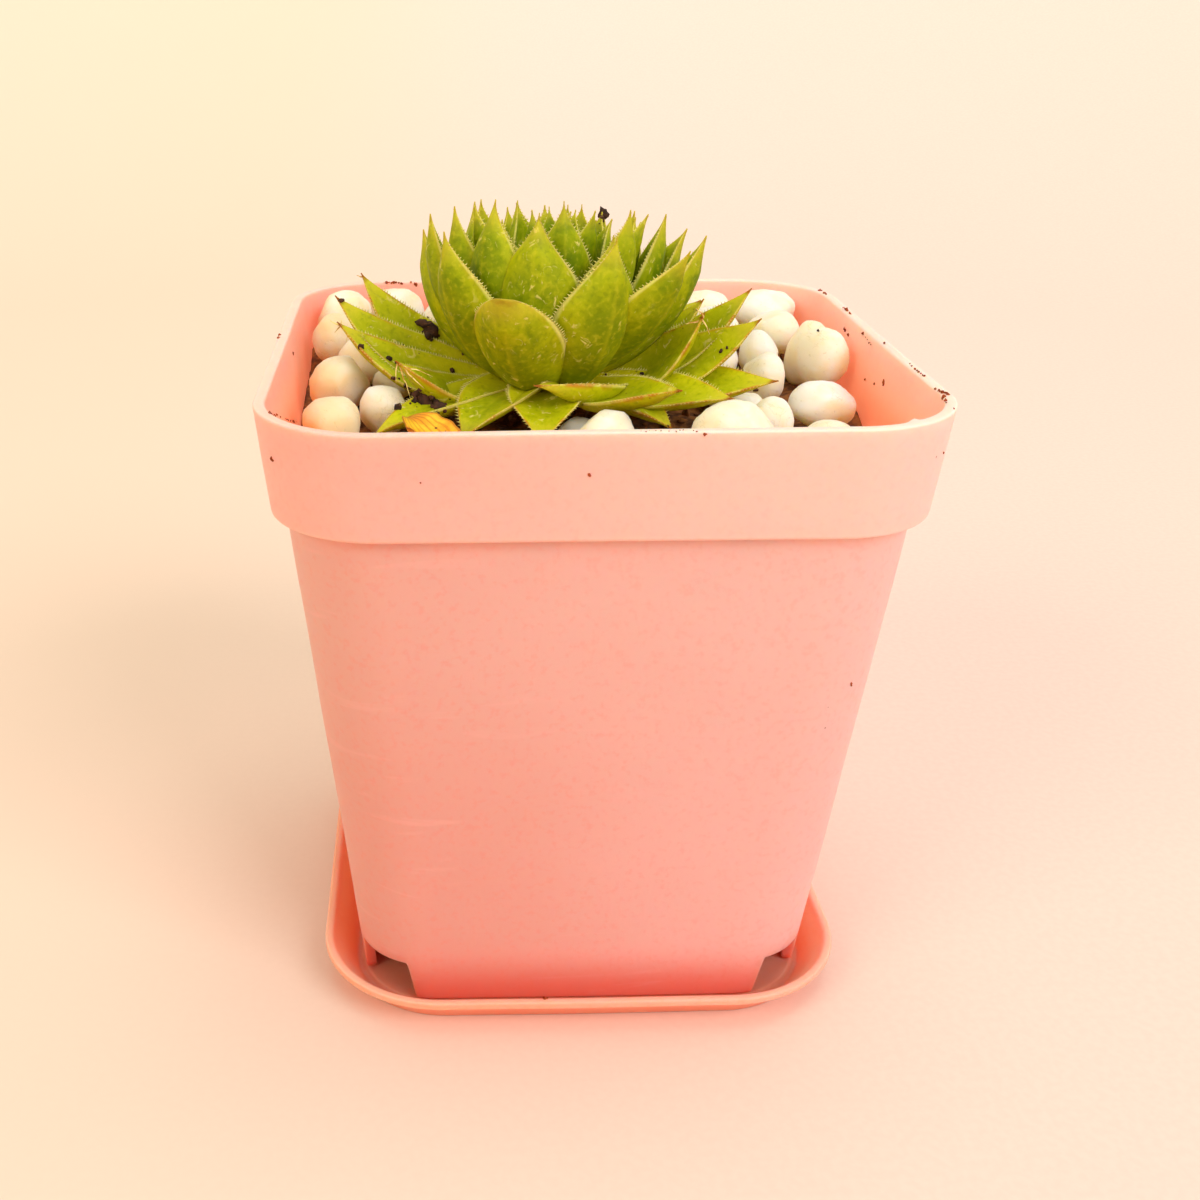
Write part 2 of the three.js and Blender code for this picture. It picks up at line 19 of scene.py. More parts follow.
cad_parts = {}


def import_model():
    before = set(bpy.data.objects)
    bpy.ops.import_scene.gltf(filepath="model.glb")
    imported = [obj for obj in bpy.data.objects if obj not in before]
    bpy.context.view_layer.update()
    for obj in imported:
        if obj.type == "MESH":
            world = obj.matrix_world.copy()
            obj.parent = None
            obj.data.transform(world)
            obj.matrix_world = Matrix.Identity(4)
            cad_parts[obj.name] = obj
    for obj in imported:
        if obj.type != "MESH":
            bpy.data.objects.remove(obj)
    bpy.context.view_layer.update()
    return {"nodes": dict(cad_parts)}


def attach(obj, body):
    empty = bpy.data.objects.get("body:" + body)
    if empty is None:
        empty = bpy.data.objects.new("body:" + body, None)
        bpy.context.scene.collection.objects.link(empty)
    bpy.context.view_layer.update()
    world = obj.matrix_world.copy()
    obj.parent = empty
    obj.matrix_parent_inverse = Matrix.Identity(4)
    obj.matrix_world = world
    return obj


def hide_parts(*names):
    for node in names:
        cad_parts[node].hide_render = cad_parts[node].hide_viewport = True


Array = np.ndarray
Object = bpy.types.Object
Material = bpy.types.Material
Socket = bpy.types.NodeSocket
Wave = tuple[float, float, float]
LOG = logging.getLogger("potted_hens_and_chicks")
MM = 0.001
FULL_TURN = 2 * math.pi
BODY = "root"


class Slot(Enum):
    """The record's material slots."""

    SAUCER = "saucer_plastic"
    POT = "pot_plastic"
    SOIL = "soil"
    LEAF = "leaf"
    WITHERED = "withered_leaf"
    STONE = "stone"


# Numbers and noise

# The fraction of a sine times SCATTER looks drawn by chance. The steps spread the sine's angle.
SCATTER = 43758.5453
SEED_STEP = 127.1
KEY_STEP = 311.7
PATTERN_STEP = 17.17
CELL_STEPS = np.array([12.9898, 78.233, 37.719])


def scattered(angle: Array) -> Array:
    """A number from 0 to 1 for each angle: the fraction of a large sine."""
    value = np.sin(angle) * SCATTER
    return value - np.floor(value)


def chance(seed: float, key: float) -> float:
    """The same number from 0 to 1 for one seed and key."""
    return float(scattered(seed * SEED_STEP + key * KEY_STEP))


def chances(count: int, key: Array | float) -> Array:
    """One chance for each of a count of things, in a column for each key where there are several.

    Args:
        count: How many things.
        key: One key or an array of keys.

    Returns:
        The numbers.
    """
    things = np.arange(1, count + 1)
    things = things[:, None] if np.ndim(key) else things
    return scattered(things * SEED_STEP + key * KEY_STEP)


def eased(share: Array) -> Array:
    """A share from 0 to 1 with soft ends: 3s² - 2s³."""
    return share * share * (3 - 2 * share)


def step(values: Array, low: float, high: float) -> Array:
    """A smooth rise from 0 at low to 1 at high."""
    return eased(np.clip((values - low) / (high - low), 0, 1))


def noise(points: Array, size: float, seed: float = 0.0) -> Array:
    """Smooth noise from -1 to 1.

    The eight numbers at the corners of a point's cell are blended by its eased place in the cell.

    Args:
        points: Places in millimetres, with x, y and z on the last axis.
        size: The width of a cell in millimetres.
        seed: A number that picks the pattern.

    Returns:
        One value for each point.
    """
    scaled = points / size
    cell = np.floor(scaled)
    share = eased(scaled - cell)
    total = np.zeros(points.shape[:-1])
    for corner in np.ndindex(2, 2, 2):
        weight = np.prod(np.where(corner, share, 1 - share), axis=-1)
        total += weight * scattered((cell + corner) @ CELL_STEPS + PATTERN_STEP * seed)
    return 2 * total - 1


def ripples(points: Array, *waves: Wave) -> Array:
    """Noise of several sizes at once: each wave has a height, a size and a seed."""
    return sum(height * noise(points, size, seed) for height, size, seed in waves)


# Surfaces


@dataclass
class Shell:
    """Closed surfaces: points in millimetres, triangles, quads, and named values at the points."""

    points: Array
    triangles: Array
    quads: Array = field(default_factory=lambda: np.zeros((0, 4), int))
    values: dict[str, Array] = field(default_factory=dict)

    def corners(self) -> Array:
        """Every face as triangles of point numbers."""
        return np.vstack([self.quads[:, [0, 1, 2]], self.quads[:, [0, 2, 3]], self.triangles])

    def faces(self) -> list:
        """Every face's point numbers."""
        return self.quads.tolist() + self.triangles.tolist()

    def outward(self) -> "Shell":
        """The same shell with its faces turned so that its volume, the sum of a·(b×c), is positive.

        Returns:
            This shell.
        """
        a, b, c = (self.points[self.corners()[:, k]] for k in range(3))
        if np.einsum("ij,ij->", a, np.cross(b, c)) < 0:
            self.quads = self.quads[:, ::-1]
            self.triangles = self.triangles[:, ::-1]
        return self


def joined(shells: Sequence[Shell]) -> Shell:
    """Several shells as one, with the same named values.

    Args:
        shells: The shells, which have the same named values.

    Returns:
        One shell of them all.
    """
    starts = np.cumsum([0] + [len(shell.points) for shell in shells[:-1]])
    return Shell(
        np.vstack([shell.points for shell in shells]),
        np.vstack([shell.triangles + start for shell, start in zip(shells, starts)]),
        np.vstack([shell.quads + start for shell, start in zip(shells, starts)]),
        {key: np.concatenate([shell.values[key] for shell in shells]) for key in shells[0].values},
    )


def repeated(points: Array, triangles: Array) -> Shell:
    """One shell of several forms that have the same triangles.

    Args:
        points: Points with the axes form, point and x, y, z.
        triangles: The triangles of one form.

    Returns:
        The shell.
    """
    count, each = points.shape[:2]
    starts = each * np.arange(count)[:, None, None]
    return Shell(points.reshape(-1, 3), (triangles + starts).reshape(-1, 3))


def strip(rows: int, columns: int) -> tuple[Array, Array]:
    """Point numbers and faces of rows of points that close on themselves.

    Args:
        rows: How many rows.
        columns: How many points each row has.

    Returns:
        The point numbers by row and column, and the quads between the rows.
    """
    index = np.arange(rows * columns).reshape(rows, columns)
    after = np.roll(index, -1, axis=1)
    return index, np.stack([index[:-1], after[:-1], after[1:], index[1:]], -1).reshape(-1, 4)


def loft(rings: Array, values: dict[str, Array] | None = None) -> Shell:
    """A closed shell through rings of points, closed at both ends by a pole at the ring's mean.

    Args:
        rings: Points with the axes row, column and x, y, z. Each row is a closed ring.
        values: Named values with the axes row and column.

    Returns:
        The shell, with its faces outwards.
    """
    index, quads = strip(*rings.shape[:2])
    pole = np.full(rings.shape[1], index.size)
    first = np.stack([np.roll(index[0], -1), index[0], pole], -1)
    last = np.stack([index[-1], np.roll(index[-1], -1), pole + 1], -1)
    points = np.vstack([rings.reshape(-1, 3), rings[0].mean(0), rings[-1].mean(0)])
    kept = {
        key: np.concatenate([grid.ravel(), [grid[0].mean(), grid[-1].mean()]])
        for key, grid in (values or {}).items()
    }
    return Shell(points, np.vstack([first, last]), quads, kept).outward()


def circle(count: int) -> Array:
    """x and y of evenly spaced points on the unit circle."""
    angle = np.linspace(0, FULL_TURN, count, endpoint=False)
    return np.stack([np.cos(angle), np.sin(angle)], -1)


def raised(flat: Array, z: Array) -> Array:
    """Rows of flat points at heights z, given for each row or each point."""
    return np.concatenate([flat, np.broadcast_to(z, flat.shape[:2])[..., None]], -1)


def turned(rows: Array, count: int) -> Array:
    """Rings of a turned form from rows of radius and height."""
    return raised(rows[:, :1, None] * circle(count), rows[:, 1:])


def shrunk(ring: Array, shares: Sequence[float]) -> Array:
    """Copies of a ring drawn in to the middle of its plane by each share."""
    scale = np.array(shares)[:, None, None] * np.array([1, 1, 0]) + np.array([0, 0, 1])
    return ring[None] * scale


def capped(rings: Array, below: Sequence[float], above: Sequence[float]) -> Array:
    """Rings with drawn-in copies of the first before them and of the last after them."""
    return np.concatenate([shrunk(rings[0], below), rings, shrunk(rings[-1], above)])


def ball(fineness: int) -> tuple[Array, Array]:
    """An evenly split icosahedron.

    Args:
        fineness: How finely its faces are split.

    Returns:
        The directions of its points, and its triangles.
    """
    mesh = bmesh.new()
    bmesh.ops.create_icosphere(mesh, subdivisions=fineness, radius=1)
    directions = np.array([vertex.co[:] for vertex in mesh.verts])
    triangles = np.array([[vertex.index for vertex in face.verts] for face in mesh.faces])
    mesh.free()
    return directions / np.linalg.norm(directions, axis=1)[:, None], triangles


def rounded(rows: Array, reach: Sequence[float], steps: int = 5, longest: float = 3.0) -> Array:
    """A profile with its corners rounded, and its long runs split.

    Each corner b becomes the curve (1-s)²a + 2s(1-s)b + s²c between points a and c on its two runs.

    Args:
        rows: The profile's corners, with any number of columns. The first two give the distance.
        reach: How far each corner's rounding reaches along its runs, in millimetres.
        steps: Points on each rounding.
        longest: The greatest length of a run in millimetres.

    Returns:
        The rounded profile's rows.
    """
    share = np.linspace(0, 1, steps)[:, None]
    parts = [rows[:1]]
    for before, corner, after, far in zip(rows[:-2], rows[1:-1], rows[2:], reach[1:-1]):
        ends = []
        for other in (before, after):
            length = np.linalg.norm((other - corner)[:2])
            ends.append(corner + (other - corner) * min(far, 0.45 * length) / length)
        a, c = ends
        parts.append((1 - share) ** 2 * a + 2 * share * (1 - share) * corner + share**2 * c)
    return split(np.vstack([*parts, rows[-1:]]), longest)


def split(rows: Array, longest: float) -> Array:
    """The same profile with extra rows, so that no run is longer than a length in millimetres.

    Args:
        rows: The profile's rows. The first two columns give the distance.
        longest: The length.

    Returns:
        The rows.
    """
    runs = np.linalg.norm(np.diff(rows[:, :2], axis=0), axis=1)
    counts = np.maximum(np.ceil(runs / longest).astype(int), 1)
    parts = [a + (b - a) * np.arange(n)[:, None] / n for a, b, n in zip(rows[:-1], rows[1:], counts)]
    return np.vstack([*parts, rows[-1:]])


@dataclass(frozen=True)
class Perimeter:
    """Columns round a rounded square.

    A column lies at base * (half - radius) + normal * radius, where base is its corner's centre or
    its place along a straight side, and normal is its outward direction.
    """

    base: Array
    normal: Array

    @classmethod
    def of(cls, straight: int, corner: Sequence[float]) -> "Perimeter":
        """Columns with a count on each straight side and at the given angles round each corner.

        Args:
            straight: How many columns each straight side has.
            corner: The angles of a corner's columns in degrees.

        Returns:
            The columns.
        """
        along = np.linspace(-1, 1, straight + 2)[1:-1]
        angles = np.radians(corner)
        one, zero = np.ones(straight), np.zeros(straight)
        bend = np.ones(len(angles))
        side = np.stack([one, along, one, zero], -1)
        turn = np.stack([bend, bend, np.cos(angles), np.sin(angles)], -1)
        pairs = np.vstack([side, turn]).reshape(-1, 2, 2)
        quarter = np.array([[0, 1], [-1, 0]])
        columns = np.vstack([pairs @ np.linalg.matrix_power(quarter, k) for k in range(4)])
        return cls(columns[:, 0], columns[:, 1])

    def place(self, half: Array, radius: Array) -> Array:
        """x and y of every column for half widths and corner radii, given for each row or point."""
        return self.base * (half - radius)[..., None] + self.normal * radius[..., None]

    def ring(self, half: Array, radius: Array, z: Array) -> Array:
        """Points of every column and row at heights z."""
        return raised(self.place(half, radius), z)


# Shaders


@dataclass(frozen=True)
class Value:
    """A number's socket, whose operators add Math nodes."""

    graph: "Graph"
    socket: Socket

    def __add__(self, other: "Value | float") -> "Value":
        """Sum."""
        return self.graph.maths("ADD", self, other)

    def __sub__(self, other: "Value | float") -> "Value":
        """Difference."""
        return self.graph.maths("SUBTRACT", self, other)

    def __rsub__(self, other: float) -> "Value":
        """Difference from a number."""
        return self.graph.maths("SUBTRACT", other, self)

    def __mul__(self, other: "Value | float") -> "Value":
        """Product."""
        return self.graph.maths("MULTIPLY", self, other)

    __radd__ = __add__
    __rmul__ = __mul__

    def size(self) -> "Value":
        """The number without its sign."""
        return self.graph.maths("ABSOLUTE", self)

    def rise(self, low: float, high: float) -> "Value":
        """A smooth rise from 0 at low to 1 at high, or a fall where low is the greater.

        Args:
            low: Where it is 0.
            high: Where it is 1.

        Returns:
            The share.
        """
        if low > high:
            return 1 - self.rise(high, low)
        node = self.graph.node("MapRange", {0: self, 1: low, 2: high}, interpolation_type="SMOOTHSTEP")
        return Value(self.graph, node.outputs[0])


class Graph:
    """A material's nodes round one Principled shader, and the colour laid on it so far."""

    def __init__(self, name: str) -> None:
        """Starts an empty material with its shader and Object coordinates.

        Args:
            name: The material's name.
        """
        self.material = bpy.data.materials.new(name)
        self.material.use_nodes = True
        self.tree = self.material.node_tree
        self.tree.nodes.clear()
        self.shader = self.node("BsdfPrincipled")
        self.node("OutputMaterial", {0: self.shader.outputs[0]})
        self.place = self.node("TexCoord").outputs["Object"]
        self.colour: Socket | None = None

    def node(self, kind: str, inputs: dict | None = None, **settings: object) -> bpy.types.Node:
        """Any node.

        Args:
            kind: The node's type, without the word ShaderNode.
            inputs: What its sockets get, by name or number.
            settings: Its own properties, set first.

        Returns:
            The node.
        """
        node = self.tree.nodes.new("ShaderNode" + kind)
        for key, value in settings.items():
            setattr(node, key, value)
        for key, value in (inputs or {}).items():
            self.feed(node.inputs[key], value)
        return node

    def feed(self, socket: Socket, value: object) -> None:
        """Links a socket to a value or another socket, or sets it to a number or a screen colour.

        Args:
            socket: The socket.
            value: A value, a socket, a number or a screen code.
        """
        if isinstance(value, Value):
            value = value.socket
        if isinstance(value, Socket):
            self.tree.links.new(value, socket)
        else:
            socket.default_value = tint(value) if isinstance(value, str) else value

    def maths(self, operation: str, *values: Value | float) -> Value:
        """The result of a Math node."""
        node = self.node("Math", dict(enumerate(values)), operation=operation)
        return Value(self, node.outputs[0])

    def attribute(self, name: str) -> Value:
        """A named value of the mesh."""
        return Value(self, self.node("Attribute", attribute_name=name).outputs["Fac"])

    def at(self, axis: str) -> Value:
        """The place along the axis X, Y or Z in millimetres."""
        return Value(self, self.node("SeparateXYZ", {0: self.place}).outputs[axis]) * (1 / MM)

    def noise(
        self, size: float, detail: float = 2.0, distortion: float = 0.0, stretch: tuple | None = None
    ) -> Value:
        """Noise from 0 to 1 with cells of a size in millimetres, drawn out along the axes by stretch.

        Args:
            size: The width of a cell in millimetres.
            detail: How many finer layers are added.
            distortion: How far the cells are warped.
            stretch: How much longer the cells are along x, y and z.

        Returns:
            The noise.
        """
        place = self.place
        if stretch:
            inverse = tuple(1 / share for share in stretch)
            place = self.node("Mapping", {"Vector": place, "Scale": inverse}).outputs[0]
        inputs = {"Vector": place, "Scale": 1 / (size * MM), "Detail": detail, "Distortion": distortion}
        return Value(self, self.node("TexNoise", inputs).outputs["Fac"])

    def spots(self, spacing: float, radius: float, softness: float = 0.15) -> Value:
        """Round specks, 1 inside and 0 outside, by the distance from scattered points.

        Args:
            spacing: The distance between points in millimetres.
            radius: The specks' radius in millimetres.
            softness: The share of the radius over which the edge fades.

        Returns:
            The share.
        """
        node = self.node("TexVoronoi", {"Vector": self.place, "Scale": 1 / (spacing * MM)})
        edge = radius / spacing
        return Value(self, node.outputs["Distance"]).rise((1 + softness) * edge, (1 - softness) * edge)

    def blend(self, share: Value | float, first: object, second: object) -> Socket:
        """A colour between two colours or links, by a share."""
        return self.node("Mix", {0: share, 6: first, 7: second}, data_type="RGBA").outputs[2]

    def coat(self, share: Value | float, code: str) -> None:
        """Lays a screen colour over the colour so far, by a share."""
        self.colour = self.blend(share, self.colour, code)

    def finish(self, inputs: dict, relief: Value | None = None, depth: float = 0.0) -> Material:
        """The finished material.

        Args:
            inputs: What the shader's other sockets get, by name.
            relief: Height of the surface from 0 to 1.
            depth: Height of the relief in millimetres.

        Returns:
            The material.
        """
        for name, value in {"Base Color": self.colour, **inputs}.items():
            self.feed(self.shader.inputs[name], value)
        if relief is not None:
            bump = self.node("Bump", {"Height": relief, "Distance": depth * MM})
            self.feed(self.shader.inputs["Normal"], bump.outputs[0])
        return self.material


def tint(code: str) -> tuple[float, float, float, float]:
    """A colour for a socket from its screen code, such as ffa795.

    Args:
        code: The screen code.

    Returns:
        Red, green, blue and alpha.
    """
    parts = [int(code[k : k + 2], 16) / 255 for k in (0, 2, 4)]
    red, green, blue = (c / 12.92 if c <= 0.04045 else ((c + 0.055) / 1.055) ** 2.4 for c in parts)
    return red, green, blue, 1.0


def soft(weight: float, radius: tuple, scale: float, shine: float, index: float) -> dict:
    """The shader's constants for light that goes into a surface, and for its shine.

    Args:
        weight: How much of the light goes in.
        radius: How far red, green and blue go, as shares of the scale.
        scale: The greatest distance in metres.
        shine: How strong the shine is.
        index: The index of refraction.

    Returns:
        The constants by socket name.
    """
    return {
        "Subsurface Weight": weight,
        "Subsurface Radius": radius,
        "Subsurface Scale": scale,
        "Specular IOR Level": shine,
        "IOR": index,
    }


@dataclass(frozen=True)
class Plastic:
    """Soft moulded plastic with painted light and shade: paler to the lit side and upwards, with a
    paler lit band, a painted highlight on the rim's edge, painted shade at the foot, and faint scuffs.

    Its inner face is painted orange, deeper towards the soil, with a little emission: a painted glow
    that stands in for light coming through the thin wall.
    """

    name: str
    main: str
    # The paler tint of the painted lit side, also the colour of the scuffs.
    lit_and_scuff_tint: str
    # The tint of the painted shade at the foot, also the colour of the fine grain.
    shade_and_grain_tint: str
    # Heights between which the painted shade at the foot fades in, from none to full.
    foot: tuple[float, float]
    rim: float
    band: float
    # How strong the painted highlight on the rim's edge is.
    edge: float

    def material(self) -> Material:
        """Builds the material.

        Returns:
            The material.
        """
        graph = Graph(self.name)
        noise, coat, height = graph.noise, graph.coat, graph.at("Z")
        # Painted light: paler towards the lit right side, from the main tint to the lit tint.
        side = (graph.at("X") * (1 / 84) + 0.35 + 0.3 * noise(30)).rise(0.0, 1.0)
        graph.colour = graph.blend(side, self.main, self.lit_and_scuff_tint)
        # Painted light: paler upwards, where more light falls.
        coat(height.rise(15, 72) * 0.22, "ffd0c4")
        # Painted shade: deeper towards the foot, where shade and light bounced from the saucer fall.
        coat(height.rise(*self.foot) * 0.75, self.shade_and_grain_tint)
        coat(noise(0.9, 4.0).rise(0.48, 0.74) * 0.16, self.shade_and_grain_tint)
        scuff = noise(7, 4.0, 1.2, (3.0, 3.0, 0.5)).rise(0.6, 0.74)
        coat(scuff * 0.22, self.lit_and_scuff_tint)
        # Painted light: the band round the mouth is painted paler, most on the lit side.
        upper = height.rise(self.band - 0.2, self.band + 0.6)
        coat(upper * (0.1 + 0.4 * side + 0.2 * noise(20)), "ffcdc4")
        # Painted highlight: a pale line along the rim's top edge.
        edge = height.rise(self.rim - 0.22, self.rim) * (0.7 + 0.3 * noise(3))
        coat(edge * self.edge, "ffdccb")
        # Painted glow: the inner face is painted orange, deeper towards the soil, standing in for light
        # through the thin wall.
        within = graph.attribute("within") * height.rise(85, 75)
        coat(within * 0.8, "ffa078")
        coat(within * height.rise(80, 75) * 0.5, "ff6c38")
        coat(graph.spots(7.5, 0.16) * noise(11).rise(0.53, 0.58) * 0.7, "a04a2c")
        inputs = {
            "Roughness": 0.4 + 0.16 * noise(3.5, 4.0) + 0.1 * scuff,
            # Emission on the inner face: a painted glow, though it is no lamp.
            "Emission Color": graph.blend(within, "000000", "ffa473"),
            "Emission Strength": 0.3,
            **soft(0.85, (1.0, 0.5, 0.3), 0.005, 0.4, 1.46),
        }
        return graph.finish(inputs, 0.5 * noise(0.9, 3.0) + 0.5 * noise(5), 0.05)


@dataclass(frozen=True)
class LeafSkin:
    """Fleshy leaf: mottled yellow-green, pale base and margin, dry brown point; painted light and shade.
    """

    name: str

    def material(self) -> Material:
        """Builds the material.

        Returns:
            The material.
        """
        graph = Graph(self.name)
        noise, coat = graph.noise, graph.coat
        along, key, age = (graph.attribute(name) for name in ("along", "key", "age"))
        across = graph.attribute("across").size()
        graph.colour = graph.blend(noise(3.4, 3.0, 0.5).rise(0.3, 0.7), "587a00", "8c9e00")
        # A random tone for each leaf, and painted light: the old lower leaves, which lie in shade, are
        # painted lighter.
        coat(key * 0.2 + 0.5 * age, "d0d00a")
        # Painted shade: a darker core in the middle of the leaf.
        core = across.rise(0.8, 0.2) * along.rise(0.1, 0.3) * along.rise(0.9, 0.5)
        coat(core * 0.5, "4e7000")
        # Painted highlight: a lighter band towards the margins.
        coat(across.rise(0.6, 0.95) * 0.3, "bcbc08")
        fine = noise(0.7, 4.0, 0.3)
        coat(fine.rise(0.5, 0.72) * 0.3, "d4cc2c")
        coat(fine.rise(0.48, 0.3) * 0.3, "4a6600")
        rib = across.rise(0.1, 0.0) * along.rise(0.05, 0.3) * along.rise(0.95, 0.6)
        coat(rib * 0.25, "c2c020")
        # Pale scrapes, real wear, laid wide enough to also act as painted highlights; they also roughen
        # and raise the skin.
        scrape_and_highlight = noise(1.9, 5.0, 2.2).rise(0.58, 0.7) * noise(5).rise(0.45, 0.6)
        coat(scrape_and_highlight * 0.7, "e8dc7c")
        # A pale yellow base on every leaf, and painted light on the old leaves, lighter over most of
        # their length where they lie in shade.
        heel = 0.55 * along.rise(0.3, 0.05) + 0.45 * age * along.rise(0.75, 0.2)
        coat(heel, "e6d61c")
        margin = across.rise(0.93, 0.99) * (0.4 + 0.7 * noise(0.6))
        coat(margin * 0.85, "e9df82")
        old_edge = across.rise(0.8, 0.98) * along.rise(0.55, 0.9) * age
        coat(old_edge * noise(1.6, 3.0).rise(0.36, 0.56) * 0.8, "b45a16")
        coat(along.rise(0.82, 0.95) * 0.45, "cdbb3a")
        dry = (along + 0.05 * noise(1.2)).rise(0.975, 1.01)
        coat(dry * (0.2 + 0.75 * age), "8a3f14")
        dust = graph.spots(1.9, 0.17) * age * noise(4).rise(0.5, 0.6)
        coat(dust * 0.85, "3a220f")
        rough = 0.42 + 0.25 * fine + 0.15 * scrape_and_highlight
        relief = 0.5 * noise(1.4, 3.0) + 0.3 * fine + 0.4 * scrape_and_highlight
        inputs = {"Roughness": rough, **soft(0.3, (0.9, 1.0, 0.05), 0.002, 0.15, 1.42)}
        return graph.finish(inputs, relief, 0.12)


@dataclass(frozen=True)
class DryLeaf:
    """Withered leaf: orange-yellow with brown veins and spots."""

    name: str

    def material(self) -> Material:
        """Builds the material.

        Returns:
            The material.
        """
        graph = Graph(self.name)
        noise, coat = graph.noise, graph.coat
        across, along = graph.attribute("across"), graph.attribute("along")
        graph.colour = graph.blend(noise(2.2, 3.0).rise(0.35, 0.65), "ee9c08", "f6c420")
        vein = graph.maths("SINE", across * 26.0 + 3.0 * noise(3)).rise(0.55, 1.0)
        coat(vein * 0.4, "b9660c")
        coat((across.size().rise(0.8, 1.0) + along.rise(0.8, 1.0)) * 0.5, "a8560f")
        coat(graph.spots(1.6, 0.2) * noise(3).rise(0.45, 0.55) * 0.8, "5d2c0c")
        relief = 0.6 * vein + 0.4 * noise(0.8, 4.0)
        return graph.finish({"Roughness": 0.5 + 0.3 * noise(1.5)}, relief, 0.15)


@dataclass(frozen=True)
class Pebble:
    """Tumbled white stone: cream, warm clouds, hairlines, pits, soft shine, painted pot reflection."""

    name: str

    def material(self) -> Material:
        """Builds the material.

        Returns:
            The material.
        """
        graph = Graph(self.name)
        noise, coat = graph.noise, graph.coat
        graph.colour = graph.blend(noise(4.5, 4.0, 0.8).rise(0.35, 0.68), "fff4e2", "ffe9c6")
        # Painted reflection: the stones on the left take a peach tint, standing in for light bounced from
        # the pot.
        left = graph.at("X").rise(-14, -38) * noise(9).rise(0.3, 0.6)
        coat(left * 0.8, "fec68e")
        coat(graph.attribute("key") * 0.4, "fed8a8")
        hair = (noise(5, 5.0, 3.0) - 0.5).size().rise(0.02, 0.0) * noise(7).rise(0.5, 0.62)
        coat(hair * 0.4, "d9b98c")
        pits = noise(0.5, 4.0).rise(0.62, 0.72)
        coat(pits * 0.3, "dcc298")
        relief = 0.7 * noise(1.5, 5.0) - 0.5 * pits - 0.3 * hair
        rough = 0.48 + 0.3 * noise(1.3, 4.0)
        inputs = {"Roughness": rough, **soft(0.9, (1.0, 0.8, 0.5), 0.008, 0.4, 1.5)}
        return graph.finish(inputs, relief, 0.12)


@dataclass(frozen=True)
class Earth:
    """Potting soil: dark brown crumbs with lighter fibres."""

    name: str
    dark: str
    light: str

    def material(self) -> Material:
        """Builds the material.

        Returns:
            The material.
        """
        graph = Graph(self.name)
        noise = graph.noise
        graph.colour = graph.blend(noise(1.4, 5.0).rise(0.35, 0.7), self.dark, self.light)
        graph.coat(noise(0.7, 3.0, 1.5, (4, 1, 1)).rise(0.62, 0.7) * 0.5, "9a6a3a")
        relief = 0.6 * noise(0.8, 6.0) + 0.4 * noise(2.2, 3.0)
        return graph.finish({"Roughness": 0.8 + 0.2 * noise(1)}, relief, 0.5)


@dataclass(frozen=True)
class Hair:
    """Pale hairs of the leaf margins, browner at the leaf's point."""

    name: str

    def material(self) -> Material:
        """Builds the material.

        Returns:
            The material.
        """
        graph = Graph(self.name)
        graph.colour = graph.blend(graph.noise(1.5).rise(0.4, 0.6), "e8de84", "cfc858")
        graph.coat(graph.attribute("along").rise(0.9, 1.0) * 0.6, "b06a2a")
        return graph.finish({"Roughness": 0.5})


@dataclass(frozen=True)
class DryFibre:
    """Dried leaf fibres in straw and brown."""

    name: str

    def material(self) -> Material:
        """Builds the material.

        Returns:
            The material.
        """
        graph = Graph(self.name)
        graph.colour = graph.blend(graph.noise(0.9, 4.0).rise(0.4, 0.62), "f0dc8c", "b5822c")
        return graph.finish({"Roughness": 0.5 + 0.3 * graph.noise(0.7)})


@dataclass(frozen=True)
class Paper:
    """Pale warm paper of the sweep, with painted warm light to the left."""

    name: str

    def material(self) -> Material:
        """Builds the material.

        Returns:
            The material.
        """
        graph = Graph(self.name)
        graph.colour = graph.blend(graph.noise(1.2, 5.0).rise(0.3, 0.7), "e6d1c4", "e9d5c8")
        # Painted light: warmer to the left, where the warm fill light falls.
        graph.coat(graph.at("X").rise(80, -130), "e9d3bc")
        return graph.finish({"Roughness": 0.85})


# Making objects


def placed(name: str, data: bpy.types.ID) -> Object:
    """An object of some data in the scene.

    Args:
        name: The object's name.
        data: A mesh, a camera or a light.

    Returns:
        The object.
    """
    made = bpy.data.objects.new(name, data)
    bpy.context.scene.collection.objects.link(made)
    return made


def smooth_mesh(name: str, points: Array, faces: list, material: Material) -> bpy.types.Mesh:
    """A smooth mesh with one material.

    Args:
        name: The mesh's name.
        points: Points in millimetres.
        faces: The point numbers of each face.
        material: Its material.

    Returns:
        The mesh, in metres.
    """
    mesh = bpy.data.meshes.new(name)
    mesh.from_pydata((points * MM).tolist(), [], faces)
    mesh.polygons.foreach_set("use_smooth", np.ones(len(faces), bool))
    mesh.materials.append(material)
    return mesh


def build(
    name: str, shell: Shell, material: Material, stands_for: Iterable[str] = ()
) -> Object:
    """Makes one piece of the object.

    Args:
        name: The piece's name.
        shell: Its surfaces in millimetres.
        material: Its material.
        stands_for: The CAD nodes that it replaces.

    Returns:
        The piece, riding on the one body.
    """
    mesh = smooth_mesh(name, shell.points, shell.faces(), material)
    for key, values in shell.values.items():
        attribute = mesh.attributes.new(key, "FLOAT", "POINT")
        attribute.data.foreach_set("value", values.astype(np.float32))
    mesh.update()
    made = placed(name, mesh)
    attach(made, BODY)
    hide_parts(*stands_for)
    LOG.info("%s: %d points, %d faces", name, len(shell.points), len(mesh.polygons))
    return made


